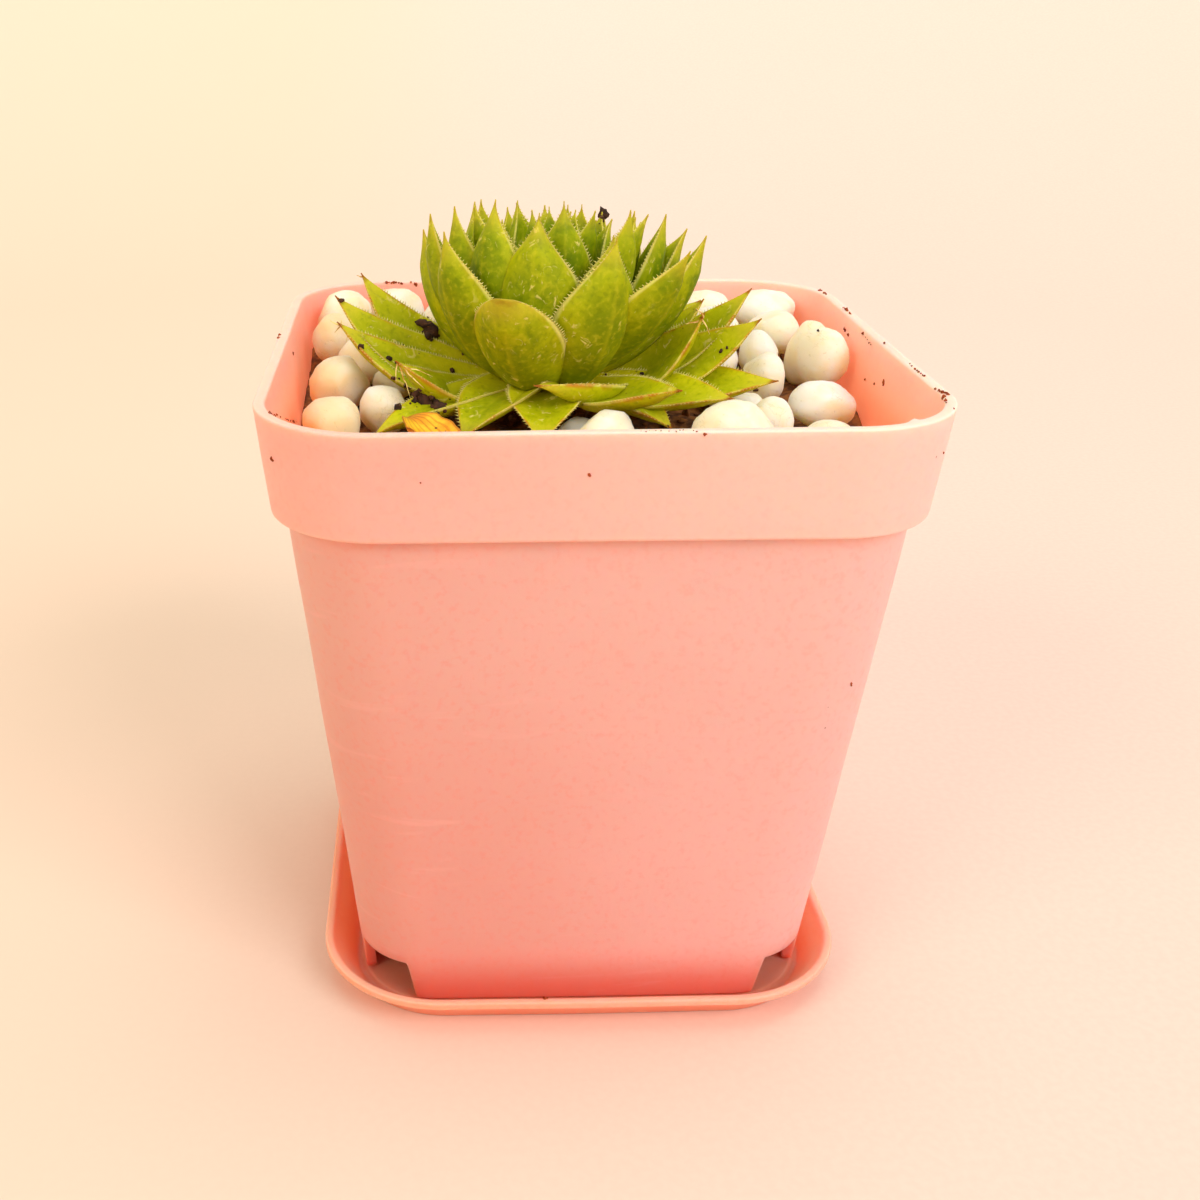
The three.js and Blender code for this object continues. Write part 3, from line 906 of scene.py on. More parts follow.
def cut(piece: Object, cutter: Shell) -> None:
    """Takes closed shells out of a piece's mesh.

    Args:
        piece: The piece, whose mesh is replaced.
        cutter: The closed shells.
    """
    mesh = bpy.data.meshes.new("cutter")
    mesh.from_pydata((cutter.points * MM).tolist(), [], cutter.faces())
    tool = placed("cutter", mesh)
    modifier = piece.modifiers.new("cut", "BOOLEAN")
    modifier.operation = "DIFFERENCE"
    modifier.object = tool
    bpy.context.view_layer.update()
    graph = bpy.context.evaluated_depsgraph_get()
    result = bpy.data.meshes.new_from_object(piece.evaluated_get(graph))
    piece.modifiers.clear()
    piece.data = result
    bpy.data.objects.remove(tool)
    bpy.data.meshes.remove(mesh)


# The pot and its saucer

# Angles round a corner of the pot in degrees, close together at the notches' edges: the first, the
# last and the count of each run.
CORNER_RUNS = ((0, 13, 4), (14.5, 22, 9), (25, 65, 11), (68, 75.5, 9), (77, 90, 4))


@dataclass
class Pot:
    """The square pot: tapered body, band round the mouth, and a foot skirt open at its corners."""

    foot: float = 1.7
    foot_half: float = 30.0
    foot_radius: float = 10.0
    body_top: float = 71.0
    body_half: float = 37.0
    body_radius: float = 12.5
    rim: float = 84.0
    wall: float = 1.4
    band_out: float = 1.5
    rim_out: float = 1.69
    rim_corner: float = 0.66
    under: float = 7.75
    floor: float = 9.0
    notch_top: float = 7.6
    notch_low: float = 22.6
    notch_high: float = 23.6
    lifted_to: float = 12.0
    drain_radius: float = 3.0
    drains: tuple = ((0, 0), (12, 12), (-12, 12), (12, -12), (-12, -12))
    nub: tuple = (31.8, -36.4, 84.0)
    nub_height: float = 0.6
    wall_waves: tuple[Wave, ...] = ((0.16, 24, 3), (0.05, 7, 4))
    rim_wave: Wave = (0.18, 30, 5)
    # Main tint, painted lit-side and scuff tint, painted shade and grain tint; painted foot shade from 11
    # mm down to 2 mm.
    finish: Plastic = Plastic(
        "pot_plastic_skin", "e09488", "fcb2ae", "f26c52", foot=(11.0, 2.0), rim=84.0, band=71.0, edge=0.75
    )

    def section(self, z: Array) -> tuple[Array, Array]:
        """Half width and corner radius of the tapered body at heights z, carried on above its top.

        Args:
            z: Heights in millimetres.

        Returns:
            The half widths and the corner radii.
        """
        share = (z - self.foot) / (self.body_top - self.foot)
        half = self.foot_half + (self.body_half - self.foot_half) * share
        return half, self.foot_radius + (self.body_radius - self.foot_radius) * share

    def profile(self) -> Array:
        """Rows of depth inside the body's face, height and extra corner radius, from foot to floor.

        Returns:
            The rows.
        """
        wall, band, rim, corner = self.wall, self.band_out, self.rim_out, self.rim_corner
        rows = np.array([
            [wall, self.under, 0],
            [wall, self.foot, 0],
            [0, self.foot, 0],
            [0, self.body_top, 0],
            [-band, self.body_top, -band],
            [-rim, self.rim, -corner],
            [-rim + wall, self.rim, -corner],
            [-band + wall, self.body_top + 1, -band],
            [wall, self.body_top - 1, 0],
            [wall, self.floor + 1, 0],
            [wall + 1, self.floor, 0],
        ])
        return rounded(rows, [0, 0.35, 0.35, 0.25, 0.5, 0.3, 0.3, 0.8, 0.8, 0.8, 0])

    def shell(self) -> Shell:
        """The pot's surface.

        A row's height is lifted near the foot corners, by the notch's height times its nearness to
        the foot, so the skirt ends there in leaning, softly rounded edges. Noise of a few tenths of
        a millimetre along the outward direction makes the walls as uneven as thin moulded plastic,
        and one small nub stands on the rim.

        Returns:
            The surface, with the value within, 1 on the inner face.
        """
        around = Perimeter.of(61, np.concatenate([np.linspace(*run) for run in CORNER_RUNS]))
        depth, z, extra = (column[:, None] for column in self.profile().T)
        foot = np.abs(around.place(np.array([[self.foot_half]]), np.array([[self.foot_radius]]))[0])
        lift = (self.notch_top - self.foot) * step(foot.min(-1), self.notch_low, self.notch_high)
        top = self.lifted_to - (self.lifted_to - self.under) * depth / self.wall
        z = z + lift * np.clip((top - z) / (top - self.foot), 0, 1)
        half, radius = self.section(z)
        rings = around.ring(half - depth, radius - depth + extra, z)
        rings[..., :2] += ripples(rings, *self.wall_waves)[..., None] * around.normal
        rings[..., 2] += ripples(rings, self.rim_wave) * step(rings[..., 2], self.body_top - 1, self.rim)
        away = np.linalg.norm((rings - np.array(self.nub))[..., :2], axis=-1)
        near_rim = step(rings[..., 2], self.rim - 1, self.rim)
        rings[..., 2] += self.nub_height * (1 - step(away, 0.3, 1.4)) * near_rim
        rings = capped(rings, (0.25, 0.5, 0.75), (0.75, 0.5, 0.25))
        within = np.zeros(rings.shape[:2])
        within[rings[..., 2].mean(1).argmax() + 1 :] = 1
        return loft(rings, {"within": within})

    def drain(self, x: float, y: float) -> Shell:
        """The cutter for one drain hole: a drum with a slight widening at its foot.

        Args:
            x: The hole's place across.
            y: The hole's place to the back.

        Returns:
            The cutter.
        """
        radius = np.array([1.15, 1.0, 1.0, 1.1]) * self.drain_radius
        z = np.array([self.under - 1, self.under + 0.3, self.floor - 0.3, self.floor + 1])
        return loft(turned(np.column_stack([radius, z]), 40) + (x, y, 0))

    def make(self) -> Shell:
        """Builds the pot and gives its surface for what lies against it.

        Returns:
            The surface, without its holes.
        """
        shell = self.shell()
        piece = build("pot_moulding", shell, self.finish.material(), ["pot"])
        cut(piece, joined([self.drain(x, y) for x, y in self.drains]))
        return shell


@dataclass
class Saucer:
    """The saucer: a flared wall with a small lip round a raised platform."""

    base_half: float = 31.5
    base_radius: float = 13.0
    lip_half: float = 35.5
    lip_radius: float = 16.5
    lip_top: float = 5.2
    lip_height: float = 1.0
    lip_width: float = 1.0
    platform_half: float = 30.6
    platform_radius: float = 12.0
    platform_top: float = 1.4
    floor_top: float = 0.9
    wall_wave: Wave = (0.1, 18, 8)
    lip_wave: Wave = (0.12, 25, 9)
    # Main tint, painted lit-side and scuff tint, painted shade and grain tint; painted shade from 4 mm
    # down to 1 mm.
    finish: Plastic = Plastic(
        "saucer_plastic_skin", "ff9c82", "fea898", "ff8666", foot=(4.0, 1.0), rim=5.3, band=9.0, edge=0.3
    )

    def profile(self) -> Array:
        """Rows of half width, height and corner radius, from the underside to the platform.

        Returns:
            The rows.
        """
        base, lip, platform = self.base_half, self.lip_half, self.platform_half
        under_lip, inside_lip = self.lip_top - self.lip_height, lip - self.lip_width
        rows = [
            (base - 0.2, 0, -0.2),
            (base + 0.1, 0.2, 0),
            (lip - 1.1, under_lip, -1.1),
            (lip, under_lip, 0),
            (lip, self.lip_top, 0),
            (inside_lip, self.lip_top, -1),
            (inside_lip - 0.4, self.lip_top - 0.4, -1.4),
            (platform + 1, self.floor_top + 0.5, 1),
            (platform + 0.5, self.floor_top, 0.5),
            (platform, self.floor_top + 0.05, 0),
            (platform - 0.4, self.platform_top, -0.4),
            (platform - 1.4, self.platform_top, -1.4),
        ]
        radii = [self.base_radius] * 2 + [self.lip_radius] * 5 + [self.platform_radius] * 5
        flat = np.array([(half, z, radius + more) for (half, z, more), radius in zip(rows, radii)])
        return rounded(flat, [0, 0.3, 0.3, 0.3, 0.3, 0.3, 0.3, 0.4, 0.3, 0.3, 0.3, 0])

    def make(self) -> Shell:
        """Builds the saucer: rows of rounded squares, uneven by a tenth of a millimetre of noise.

        Returns:
            The surface.
        """
        around = Perimeter.of(41, np.linspace(0, 90, 25))
        half, z, radius = (column[:, None] for column in self.profile().T)
        rings = around.ring(half, radius, z)
        rings[..., :2] += ripples(rings, self.wall_wave)[..., None] * around.normal
        rings[..., 2] += ripples(rings, self.lip_wave) * step(rings[..., 2], 1.5, 5)
        shell = loft(capped(rings, (0.3, 0.65), (0.93, 0.65, 0.3)))
        build("saucer_moulding", shell, self.finish.material(), ["saucer"])
        return shell


# Soil


@dataclass
class Soil:
    """The soil that fills the pot, with crumbs on its rough surface."""

    top: float = 73.2
    heap: float = 0.25
    rise: float = 0.11
    gap: float = 0.2
    crumbs: int = 480
    spread: float = 70.0
    rows: int = 58
    heaps: tuple[Wave, ...] = ((0.35, 9, 11), (0.3, 3.1, 12), (0.28, 1.3, 13))
    finish: Earth = Earth("potting_soil_skin", "5e3616", "a0662a")

    def surface(self, x: Array, y: Array) -> Array:
        """Height of the surface: a plane that rises to the back, with soft heaps and coarse crumbs."""
        flat = np.stack([x, y, np.zeros_like(x)], -1)
        return self.top + self.rise * y + self.heap + ripples(flat, *self.heaps)

    def shell(self, pot: Pot) -> Shell:
        """The soil inside a pot: a wall that follows the pot's, and a rough top.

        Args:
            pot: The pot.

        Returns:
            The soil's surface.
        """
        around = Perimeter.of(31, np.linspace(0, 90, 19))
        half, radius = pot.section(np.array([[self.top]]))
        rim = around.place(half - pot.wall, radius - pot.wall)[0]
        share = np.array([0, 0.02, 0.3, 0.6, 0.8, 0.9, 0.95, 1.0])[:, None]
        low = pot.floor + 0.4
        z = low + (self.surface(rim[:, 0], rim[:, 1]) - low) * share
        half, radius = pot.section(z)
        depth = np.interp(z, (low, low + 1, 70, 72), (2.4, 1.4, 1.4, -0.1)) + self.gap
        side = around.ring(half - depth, radius - np.maximum(depth, 1.4), z)
        rings = capped(side, (0.3, 0.7), np.linspace(0.985, 0.04, self.rows))
        top = rings[-self.rows :]
        top[..., 2] = self.surface(top[..., 0], top[..., 1])
        return loft(rings)

    def loose(self, pot: Pot) -> Shell:
        """The crumbs, where they lie clear of the pot's wall.

        Args:
            pot: The pot.

        Returns:
            One shell of them all.
        """
        spots = self.spread * (chances(self.crumbs, np.array([1, 2])) - 0.5)
        size = 0.35 + 0.9 * chances(self.crumbs, 3) ** 3
        half, radius = pot.section(self.top + self.rise * spots[:, 1])
        over = np.linalg.norm(np.maximum(np.abs(spots) - (half - radius)[:, None], 0), axis=1)
        kept = over < radius - pot.wall - self.gap - 1.8 * size
        spots, size = spots[kept], size[kept]
        z = self.surface(spots[:, 0], spots[:, 1]) + 0.3 * size
        return lumps(np.column_stack([spots, z]), size, 5)

    def make(self, pot: Pot) -> None:
        """Builds the soil and its crumbs inside a pot.

        Args:
            pot: The pot.
        """
        material = self.finish.material()
        build("potting_soil", self.shell(pot), material, ["soil"])
        build("soil_crumbs", self.loose(pot), material)


def lumps(places: Array, sizes: Array, seed: float) -> Shell:
    """Ragged crumbs: small balls whose radius changes by noise of two sizes, drawn out by chance.

    Args:
        places: Their centres.
        sizes: Their mean radii.
        seed: A number that picks their shapes.

    Returns:
        One shell of them all.
    """
    directions, triangles = ball(2)
    count = len(places)
    stretch = 0.55 + 0.9 * chances(count, seed + np.array([0.1, 0.2, 0.3]))
    own = directions[None] + 10 * np.arange(count)[:, None, None]
    radius = sizes[:, None] * (1 + ripples(own, (0.55, 0.8, seed), (0.35, 0.35, seed + 1)))
    return repeated(places[:, None] + radius[..., None] * directions[None] * stretch[:, None], triangles)


# Leaves

# The triangles of a three-sided spike, whose last point is its tip.
SPIKE = np.array([[0, 1, 3], [1, 2, 3], [2, 0, 3], [0, 2, 1]])


@dataclass(frozen=True)
class Leaf:
    """A fleshy leaf along a circular arc from the stem to its tip.

    The half width swells from the heel to the shoulder and narrows to a drawn-out point. The upper
    face is cupped by the square of the place across and droops by a square near the tip, and the
    lower face bulges below it.
    """

    turn: float
    reach: float
    height: float
    launch: float
    width: float
    bend: float = 0.0
    roll: float = 0.0
    thick: float = 1.4
    cup: float = 0.25
    root_reach: float = 2.0
    root_height: float = 0.5
    shoulder: float = 0.5
    heel: float = 0.62
    point: float = 1.25
    edge: float = 0.36
    tip: float = 0.07
    droop: float = 0.9
    droop_from: float = 0.75
    age: float = 1.0
    seed: float = 0.0
    origin: tuple = (-4.0, 2.0, 78.5)
    skin_wave: tuple[float, float] = (0.07, 2.6)

    def arc(self) -> tuple[float, float, float]:
        """Launch angle, sweep and length of the midrib.

        Returns:
            Two angles in radians and a length in millimetres.
        """
        run, climb = self.reach - self.root_reach, self.height - self.root_height
        launch = math.radians(self.launch)
        sweep = 2 * (math.atan2(climb, run) - launch) or 1e-3
        return launch, sweep, math.hypot(run, climb) * (sweep / 2) / math.sin(sweep / 2)

    def half(self, t: Array) -> Array:
        """Half width at shares t of the length, with a slight wave along the margin.

        Args:
            t: Shares of the length.

        Returns:
            The half widths in millimetres.
        """
        swell = np.sin(math.pi / 2 * np.clip(t / self.shoulder, 0, 1)) ** 1.2
        rise = self.heel + (1 - self.heel) * swell
        past = np.clip((t - self.shoulder) / (1 - self.shoulder), 0, 1)
        outline = np.where(t < self.shoulder, rise, (1 - past**2) ** self.point)
        wave = 1 + 0.02 * np.sin(11 * t + 7 * self.seed)
        return np.maximum(self.width / 2 * outline * wave, self.tip)

    def place(self, t: Array, v: Array, lift: Array | float) -> Array:
        """Points at shares t along and v across from -1 to 1, at a height over the cupped face.

        Args:
            t: Shares of the length.
            v: Places across.
            lift: Heights over the face in millimetres.

        Returns:
            The points.
        """
        launch, sweep, length = self.arc()
        turn = math.radians(self.turn)
        angle = launch + sweep * t
        half = self.half(t)
        past = np.clip((t - self.droop_from) / (1 - self.droop_from), 0, 1)
        above = self.cup * half * v * v - self.droop * past**2 + lift
        out = self.root_reach + length * (np.sin(angle) - math.sin(launch)) / sweep
        up = self.root_height + length * (math.cos(launch) - np.cos(angle)) / sweep
        roll = math.radians(self.roll) * np.sin(math.pi / 2 * np.minimum(1, 2 * t))
        sine, cosine = np.sin(roll), np.cos(roll)
        above, across = above * cosine + half * v * sine, half * v * cosine - above * sine
        radial = out - above * np.sin(angle)
        side = 4 * t * (1 - t) * self.bend + across
        x = radial * math.cos(turn) - side * math.sin(turn)
        y = radial * math.sin(turn) + side * math.cos(turn)
        points = np.stack(np.broadcast_arrays(x, y, up + above * np.cos(angle)), -1)
        return points + np.array(self.origin)

    def shell(self, rows: int = 34, columns: int = 24) -> Shell:
        """The leaf's closed surface: rings whose place across is the cosine of an angle round them.

        Args:
            rows: How many rings it has.
            columns: How many points each ring has.

        Returns:
            The surface, with the named values along, across, key and age.
        """
        t = (1 - (1 - np.linspace(0, 1, rows)) ** 1.25)[:, None]
        v, sine = circle(columns).T[:, None]
        swell = np.abs(sine)
        body = 0.4 + 0.6 * np.sin(math.pi * (0.85 * t + 0.15)) ** 0.8
        close = np.minimum(1, 5 * (1 - t) + 0.1)
        flesh = (self.thick + 0.6 - self.edge) * body * close
        edge = self.edge * (1 - 0.75 * t**6)
        lens = edge / 2 * swell**0.5
        keel = 0.16 * np.exp(-((v / 0.16) ** 2)) * np.sin(math.pi * t)
        upper = -edge / 2 + lens - keel
        lower = -edge / 2 - lens - flesh * swell**1.5 - 0.8 * keel
        points = self.place(t, v, np.where(sine >= 0, upper, lower))
        shift = ripples(points, (*self.skin_wave, self.seed)) * np.sin(math.pi * t)
        values = {"along": t, "across": v, "key": chance(self.seed, 5), "age": self.age}
        return loft(
            points + shift[..., None],
            {key: np.broadcast_to(value, points.shape[:2]) for key, value in values.items()},
        )

    def teeth(self, spacing: float = 0.4, first: float = 0.22, run: float = 0.76) -> Shell:
        """Fine hairs along both margins: three-sided spikes that lean out and towards the tip.

        Args:
            spacing: From one hair to the next, in millimetres.
            first: The share of the length where they start.
            run: The share of the length along which they stand.

        Returns:
            One shell of them all.
        """
        _, _, length = self.arc()
        count = max(int(run * length / spacing), 4)
        along = first + run * (np.arange(count) + 0.5) / count
        t = np.concatenate([along, along + 0.3 / length])[:, None]
        v = np.repeat([1.0, -1.0], count)[:, None]
        edge = -self.edge / 2
        root = self.place(t, v, edge)[:, 0]
        out = root - self.place(t, 0.9 * v, edge)[:, 0]
        forward = self.place(t + 0.01, v, edge)[:, 0] - root
        out, forward = (a / np.linalg.norm(a, axis=1)[:, None] for a in (out, forward))
        up = np.cross(out, forward)
        jitter = chances(2 * count, self.seed + 0.7)[:, None]
        lean = out + (0.35 + 0.5 * jitter) * forward + 0.3 * (jitter - 0.5) * up
        reach = (0.28 + 0.28 * chances(2 * count, self.seed + 0.4)[:, None]) * np.minimum(1, 8 * (1 - t))
        tip = root + reach * lean / np.linalg.norm(lean, axis=1)[:, None]
        start = root - 0.12 * out
        corners = [start + 0.13 * forward, start - 0.13 * forward + 0.08 * up, start - 0.1 * up, tip]
        shell = repeated(np.stack(corners, 1), SPIKE)
        shell.values["along"] = np.repeat(t[:, 0], len(corners))
        return shell.outward()


# Leaves of the cup whose tips have their own places: turn, reach, tip height and width, and where
# they aren't the usual ones, sideways bend and point, by leaf number.
CUP_CHANGES = {
    0: (-112, 18.3, 14.7, 11.7, 0, 0.55),
    1: (18, 14.2, 18.6, 10.4),
    2: (165, 16.2, 18.7, 10.2),
    3: (-64.5, 14.2, 20.6, 11.4, -1.1),
    5: (-141, 17.1, 21.1, 10.4),
    6: (-8, 18.4, 19.2, 9.8),
    8: (-103, 10.9, 22.8, 11.2, -0.3),
    10: (179, 14.7, 21.3, 9),
    11: (-41, 19.5, 19.4, 10.8),
    13: (-132, 10.7, 24, 9.6),
    14: (10, 17, 19.2, 9),
    16: (-58, 11.3, 20.3, 9),
    18: (-158, 12.7, 23, 8.8),
    19: (-6, 13.2, 21.5, 8.4),
    24: (-42, 10.8, 22.9, 8),
    29: (-86, 7.2, 23.8, 7.6),
    31: (-162, 9.8, 23, 7),
    32: (-21, 11.3, 22.2, 7),
    37: (-49, 6.2, 22.6, 5.6),
}
USUAL_BEND_AND_POINT = (0, 1.75)

# The older leaves below the cup: turn, reach, tip height, launch angle, width, bend and roll.
SKIRT = (
    (163, 25.6, 12.8, -9, 7.8, 1, -28),
    (175, 27.8, 11, -12, 8.4, 1, -30),
    (-178, 27.3, 8.4, -17, 8.2, 1.5, -26),
    (-152, 22, 5.8, -26, 9.2, 0, -12),
    (-146, 28, -2, 0, 7.4, 0, 0),
    (-125, 21.5, -2.2, 10, 9.4, 0, 0),
    (-97, 20.5, -2, 10, 9.6, 0, 0),
    (-101, 17, 4.6, -5, 9.4, 6, 0),
    (-57, 25, 5, -6, 8.2, -1, 15),
    (-22, 19.3, 10.4, -12, 8.8, 0, 36),
    (4, 19.5, 10.5, -4, 6.6, 0, 22),
    (-5, 25, 12.6, -5, 7.6, 0, 30),
    (-15, 26.4, 9.8, -9, 8.8, 0, 38),
    (-23, 29.8, 3.4, -8, 8.6, 0, 24),
    (-37, 26.5, 2.4, -6, 8.4, 0, 20),
    (-49, 21.6, -1.4, 5, 6.8, 0, 8),
    (28, 24, 8.5, 0, 8, 0, 12),
    (55, 26, 10, 5, 8, 1, 0),
    (82, 24, 9, 5, 8.4, 0, -8),
    (108, 26, 10.5, 5, 8, -1, 10),
    (137, 20, 9.5, 2, 8.2, 0, -10),
)
SKIRT_SEED = 100

# The root, stem and core: rows of radius and height.
STEM = (
    (0.3, -21.5), (1.2, -21), (2.3, -16), (2.8, -6), (3.2, -2.5),
    (4.6, -0.5), (6.8, 2), (7, 6), (5.4, 9.5), (1, 11.8),
)


def skirt() -> list[Leaf]:
    """The older leaves."""
    return [Leaf(*row, seed=SKIRT_SEED + number) for number, row in enumerate(SKIRT)]


@dataclass
class Rosette:
    """The plant: a cup of leaves at the golden angle over a skirt of older leaves, on a short stem."""

    cup_leaves: int = 44
    first_turn: float = -114.0
    golden_angle: float = 137.508
    lean: float = 1.2
    spread: float = 16.3
    height: float = 19.4
    finish: LeafSkin = LeafSkin("leaf_skin")
    hair: Hair = Hair("leaf_hair_skin")

    def cup_leaf(self, number: int) -> Leaf:
        """A leaf of the cup: each stands higher, steeper and nearer the middle than the one before.

        Args:
            number: The leaf's number, counted from the lowest.

        Returns:
            The leaf.
        """
        s = number / (self.cup_leaves - 1)
        jitter = 8 * (chance(number, 2) - 0.5)
        angle = math.radians(self.first_turn + self.golden_angle * number + jitter)
        spread = self.spread * (1 - s) ** 0.6
        x, y = spread * math.cos(angle) + self.lean, spread * math.sin(angle)
        height = self.height + 1.8 * s + chance(number, 1) - 0.07 * x
        rule = (math.degrees(math.atan2(y, x)), math.hypot(x, y), height, 10.6 - 4.4 * s - 2.6 * s**4)
        row = CUP_CHANGES.get(number, rule)
        turn, reach, height, width, bend, point = (*row, *USUAL_BEND_AND_POINT[len(row) - 4 :])
        return Leaf(
            turn, reach, height, 14 + 24 * s + 45 * s**6, width, bend,
            thick=1.9 - s, cup=0.32, root_reach=3.3 - 3 * s, root_height=0.5 + 7.5 * s,
            shoulder=0.58, heel=0.55, point=point, age=0.25 * (1 - s), seed=number,
        )

    def stem(self) -> Shell:
        """Root, stem and core: a turned profile.

        Returns:
            The shell, with a leaf's named values.
        """
        rings = turned(split(np.array(STEM), 1.2), 40) + np.array(Leaf.origin)
        values = {"along": 0.1, "across": 0.5, "key": 0.5, "age": 1.0}
        return loft(rings, {key: np.full(rings.shape[:2], value) for key, value in values.items()})

    def make(self) -> Shell:
        """Builds the leaves and the hairs on their margins.

        Returns:
            The surface of the leaves and the stem.
        """
        leaves = [self.cup_leaf(number) for number in range(self.cup_leaves)] + skirt()
        shell = joined([self.stem(), *(leaf.shell() for leaf in leaves)])
        build("rosette_leaves", shell, self.finish.material(), ["rosette"])
        build("leaf_hairs", joined([leaf.teeth() for leaf in leaves]), self.hair.material())
        return shell


# Dried fibres at the tips of old leaves: the skirt's leaf number, place along it, and how far the
# fibre runs, first straight and then bent, in millimetres, and its radius.
FIBRES = (
    (2, 0.985, (-0.7, -0.2, 0.2), (-0.3, 0, 0.5), 0.15),
    (2, 0.975, (-0.6, -0.2, -0.3), (-0.2, 0, -0.5), 0.14),
    (2, 0.97, (-0.2, -0.3, 0.6), (0.3, 0, 0.5), 0.12),
    (2, 0.93, (-0.5, -0.3, -0.7), (0.1, 0, -0.4), 0.12),
    (3, 0.97, (0.4, -0.5, 0.5), (2.6, -0.6, -3.4), 0.17),
    (3, 0.96, (-0.2, -0.5, -0.4), (1.4, -0.5, -3.4), 0.14),
    (3, 0.95, (0.9, -0.4, 0.5), (2.9, -0.4, -1.6), 0.13),
    (3, 0.98, (-0.5, -0.3, -0.3), (0.3, -0.4, -2.2), 0.12),
    (3, 0.9, (0.6, -0.4, -0.2), (2.2, -0.5, -2.4), 0.12),
    (9, 0.98, (0.2, -0.2, 0.3), (-1.2, -0.2, 0.9), 0.2),
    (9, 0.97, (0.2, -0.3, -0.5), (0.8, -0.2, -1.4), 0.16),
    (9, 0.95, (-0.3, -0.3, 0.3), (-1.5, -0.3, -0.5), 0.16),
    (0, 0.985, (-0.5, 0, -0.2), (-0.3, 0, 0.3), 0.12),
)


@dataclass
class DryTips:
    """The dried, curled fibres at the tips of a few old leaves."""

    wave: Wave = (0.12, 0.8, 41)
    finish: DryFibre = DryFibre("dry_tip_skin")

    def fibre(self, leaf: Leaf, along: float, straight: tuple, bent: tuple, radius: float) -> Shell:
        """One fibre along start + s·straight + s²·bent, whose radius falls to a fifth at its end.

        Args:
            leaf: The leaf that it hangs from.
            along: Its place along the leaf.
            straight: How far it runs straight on, in millimetres.
            bent: How far it bends away, in millimetres.
            radius: Its radius at the start.

        Returns:
            The fibre.
        """
        start = leaf.place(np.array([[along]]), np.zeros((1, 1)), -0.2)[0, 0]
        s = np.linspace(0, 1, 12)[:, None]
        middle = start + s * np.array(straight) + s**2 * np.array(bent)
        middle += ripples(middle, self.wave)[:, None]
        ring = circle(8)[:, [0, 1, 1]] * (1, 0.6, 1)
        return loft(middle[:, None] + radius * (1 - 0.8 * s)[..., None] * ring)

    def make(self) -> None:
        """Builds every fibre."""
        leaves = skirt()
        shell = joined([self.fibre(leaves[number], *row) for number, *row in FIBRES])
        build("dried_leaf_tips", shell, self.finish.material())


@dataclass
class FallenLeaf:
    """A dropped, withered leaf between the front wall and the living leaves."""

    leaf: Leaf = Leaf(
        turn=math.degrees(math.atan2(11.6, -7.2)), reach=math.hypot(7.2, 11.6), height=5.8, launch=35,
        width=7, bend=0.6, thick=0.0, cup=0.5, root_reach=0, root_height=0, shoulder=0.45, heel=0.5,
        point=0.8, edge=0.45, seed=77.0, origin=(-15.5, -25.0, 73.0),
    )
    torn: Wave = (0.7, 1.3, 22)
    crinkle: Wave = (0.3, 1.6, 21)
    finish: DryLeaf = DryLeaf("withered_leaf_skin")

    def make(self) -> None:
        """Builds the leaf, crinkled and torn at its edges by noise that fades out at its ends."""
        shell = self.leaf.shell(46, 40)
        across = shell.values["across"]
        fade = np.sin(math.pi * np.clip(shell.values["along"], 0.05, 0.95))
        torn = fade * step(np.abs(across), 0.5, 1) * ripples(shell.points, self.torn)
        shell.points += torn[:, None] * (0.6, 1, 0.2)
        shell.points[:, 2] += fade * ripples(shell.points, self.crinkle) * (0.4 + across**2)
        build("fallen_leaf", shell, self.finish.material(), ["withered_leaf"])


# Stones


